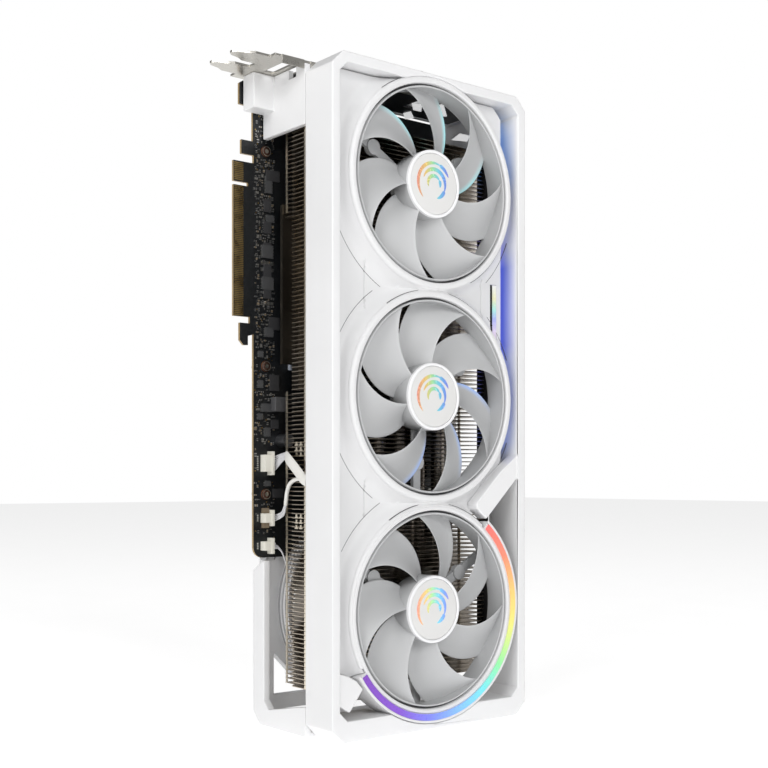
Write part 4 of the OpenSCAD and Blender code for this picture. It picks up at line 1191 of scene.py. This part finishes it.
def smooth_path(points, steps=8):
    """A smooth line through points (Catmull-Rom)."""
    points = [Vector(p) for p in points]
    padded = [2 * points[0] - points[1]] + points + [2 * points[-1] - points[-2]]
    line = []
    for i in range(1, len(padded) - 2):
        a, b, c, d = padded[i - 1:i + 3]
        for j in range(steps):
            t = j / steps
            line.append(0.5 * ((2 * b) + (c - a) * t + (2 * a - 5 * b + 4 * c - d) * t * t
                               + (3 * b - a - 3 * c + d) * t ** 3))
    line.append(points[-1])
    return line


def tube(build, path, wide, thick, sides=14, taper=None):
    """An oval tube along a path, wide across the board's plane."""
    rings = []
    count = len(path)
    for i, p in enumerate(path):
        along = (path[min(i + 1, count - 1)] - path[max(i - 1, 0)]).normalized()
        across = along.cross(Vector((1, 0.2, 0.1))).normalized()
        out = across.cross(along)
        grow = taper(i / (count - 1)) if taper else 1
        for j in range(sides):
            a = 2 * pi * j / sides
            offset = across * cos(a) * wide / 2 * grow + out * sin(a) * thick / 2 * grow
            rings.append(tuple(p + offset))
    faces = [f[::-1] for f in loft(count, sides)]
    last = (count - 1) * sides
    build.add(rings, faces + [tuple(range(sides)), tuple(last + j for j in reversed(range(sides)))])


def build_sleeves():
    sleeves = Builder()
    tube(sleeves, smooth_path(FRONT_LEAD), 6.2, 1.5, 18, lambda t: 0.82 + 0.18 * min(1, t * 6))
    tube(sleeves, smooth_path(LOOP_LEAD), 2.2, 2.2, 14)
    wiring = sleeves.make("fan_lead_sleeves", "sleeve", slot="lead_sleeve", smooth=60)
    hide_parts("fan_leads")


def build_wires():
    """The single wires that fan out of each plug and gather again at its sleeve."""
    wires = Builder()
    for (z, height, count), (bx, bd, bz), (end, spread) in zip(HEADERS, WIRE_BENDS, WIRE_ENDS):
        pitch = (height - 1.6) / count
        for i in range(count):
            at = z + (i - (count - 1) / 2) * pitch * 1.12
            share = (i - (count - 1) / 2) / count
            leave = PLUG_X + 0.15
            bend = (bx + 0.25 * sin(9 * share), bd + share * 2.2, bz + share * height * 0.42)
            tip = (end[0] + 0.1 * cos(7 * share), end[1] + share * spread * 1.2,
                   end[2] + share * spread * 2.6)
            line = smooth_path([(leave - 0.5, 63.4, at), (leave + 0.9, 63, at), bend, tip], 8)
            tube(wires, line, 0.8, 0.8, 8)
            if end == REAR_LEAD[0]:
                rest = [(x, d + share * 0.6, q + share * 1.2) for x, d, q in REAR_LEAD[1:]]
                tube(wires, smooth_path([tip] + rest, 6), 0.7, 0.7, 8)
    wires.make("fan_wires", "wire", slot="lead_sleeve", smooth=60)


def build_header_details():
    """Solder pins behind the headers and the two anchors of the middle one."""
    pins = Builder()
    for z, height, count in HEADERS:
        pitch = (height - 1.2) / count
        for i in range(count):
            at = z + (i - (count - 1) / 2) * pitch
            on_board(pins, HEADER_X - 2.5, HEADER_X - 1.7, 0.5, at - 0.32, at + 0.32)
    anchors = Builder()
    for side in (-1, 1):
        z = HEADERS[1][0] + side * 4.1
        anchors.box(HEADER_X + 0.6, HEADER_X + 4.2, 63.4, 65.78, z - 1.4, z + 1.4)
    pins.make("header_pins", "solder", slot="gold_contact")
    anchors.make("header_anchors", "ceramic", slot="chip_black")


# ---- making

make_materials()
make_camera()
scene.view_settings.view_transform = "Standard"
make_world(0.26, 1)
make_floor()
area_light("key", (-1.9, -0.7, 1.1), (0, 0, 0.2), (1.2, 1.2), 20)
area_light("front", (-0.35, -2, 1.15), (0, 0, 0.2), (0.9, 0.9), 16.5)
dress_nodes()
for fan in FANS:
    build_rotor(fan)
    build_cap(fan)
build_shroud_panel()
build_bezels()
build_back_lines()
build_shroud_arcs()
build_painted_rail_glow()
build_ring_trim()
build_fin_tabs()
build_painted_fin_shade()
build_small_parts()
build_screw_rings()
build_sleeves()
build_wires()
build_header_details()
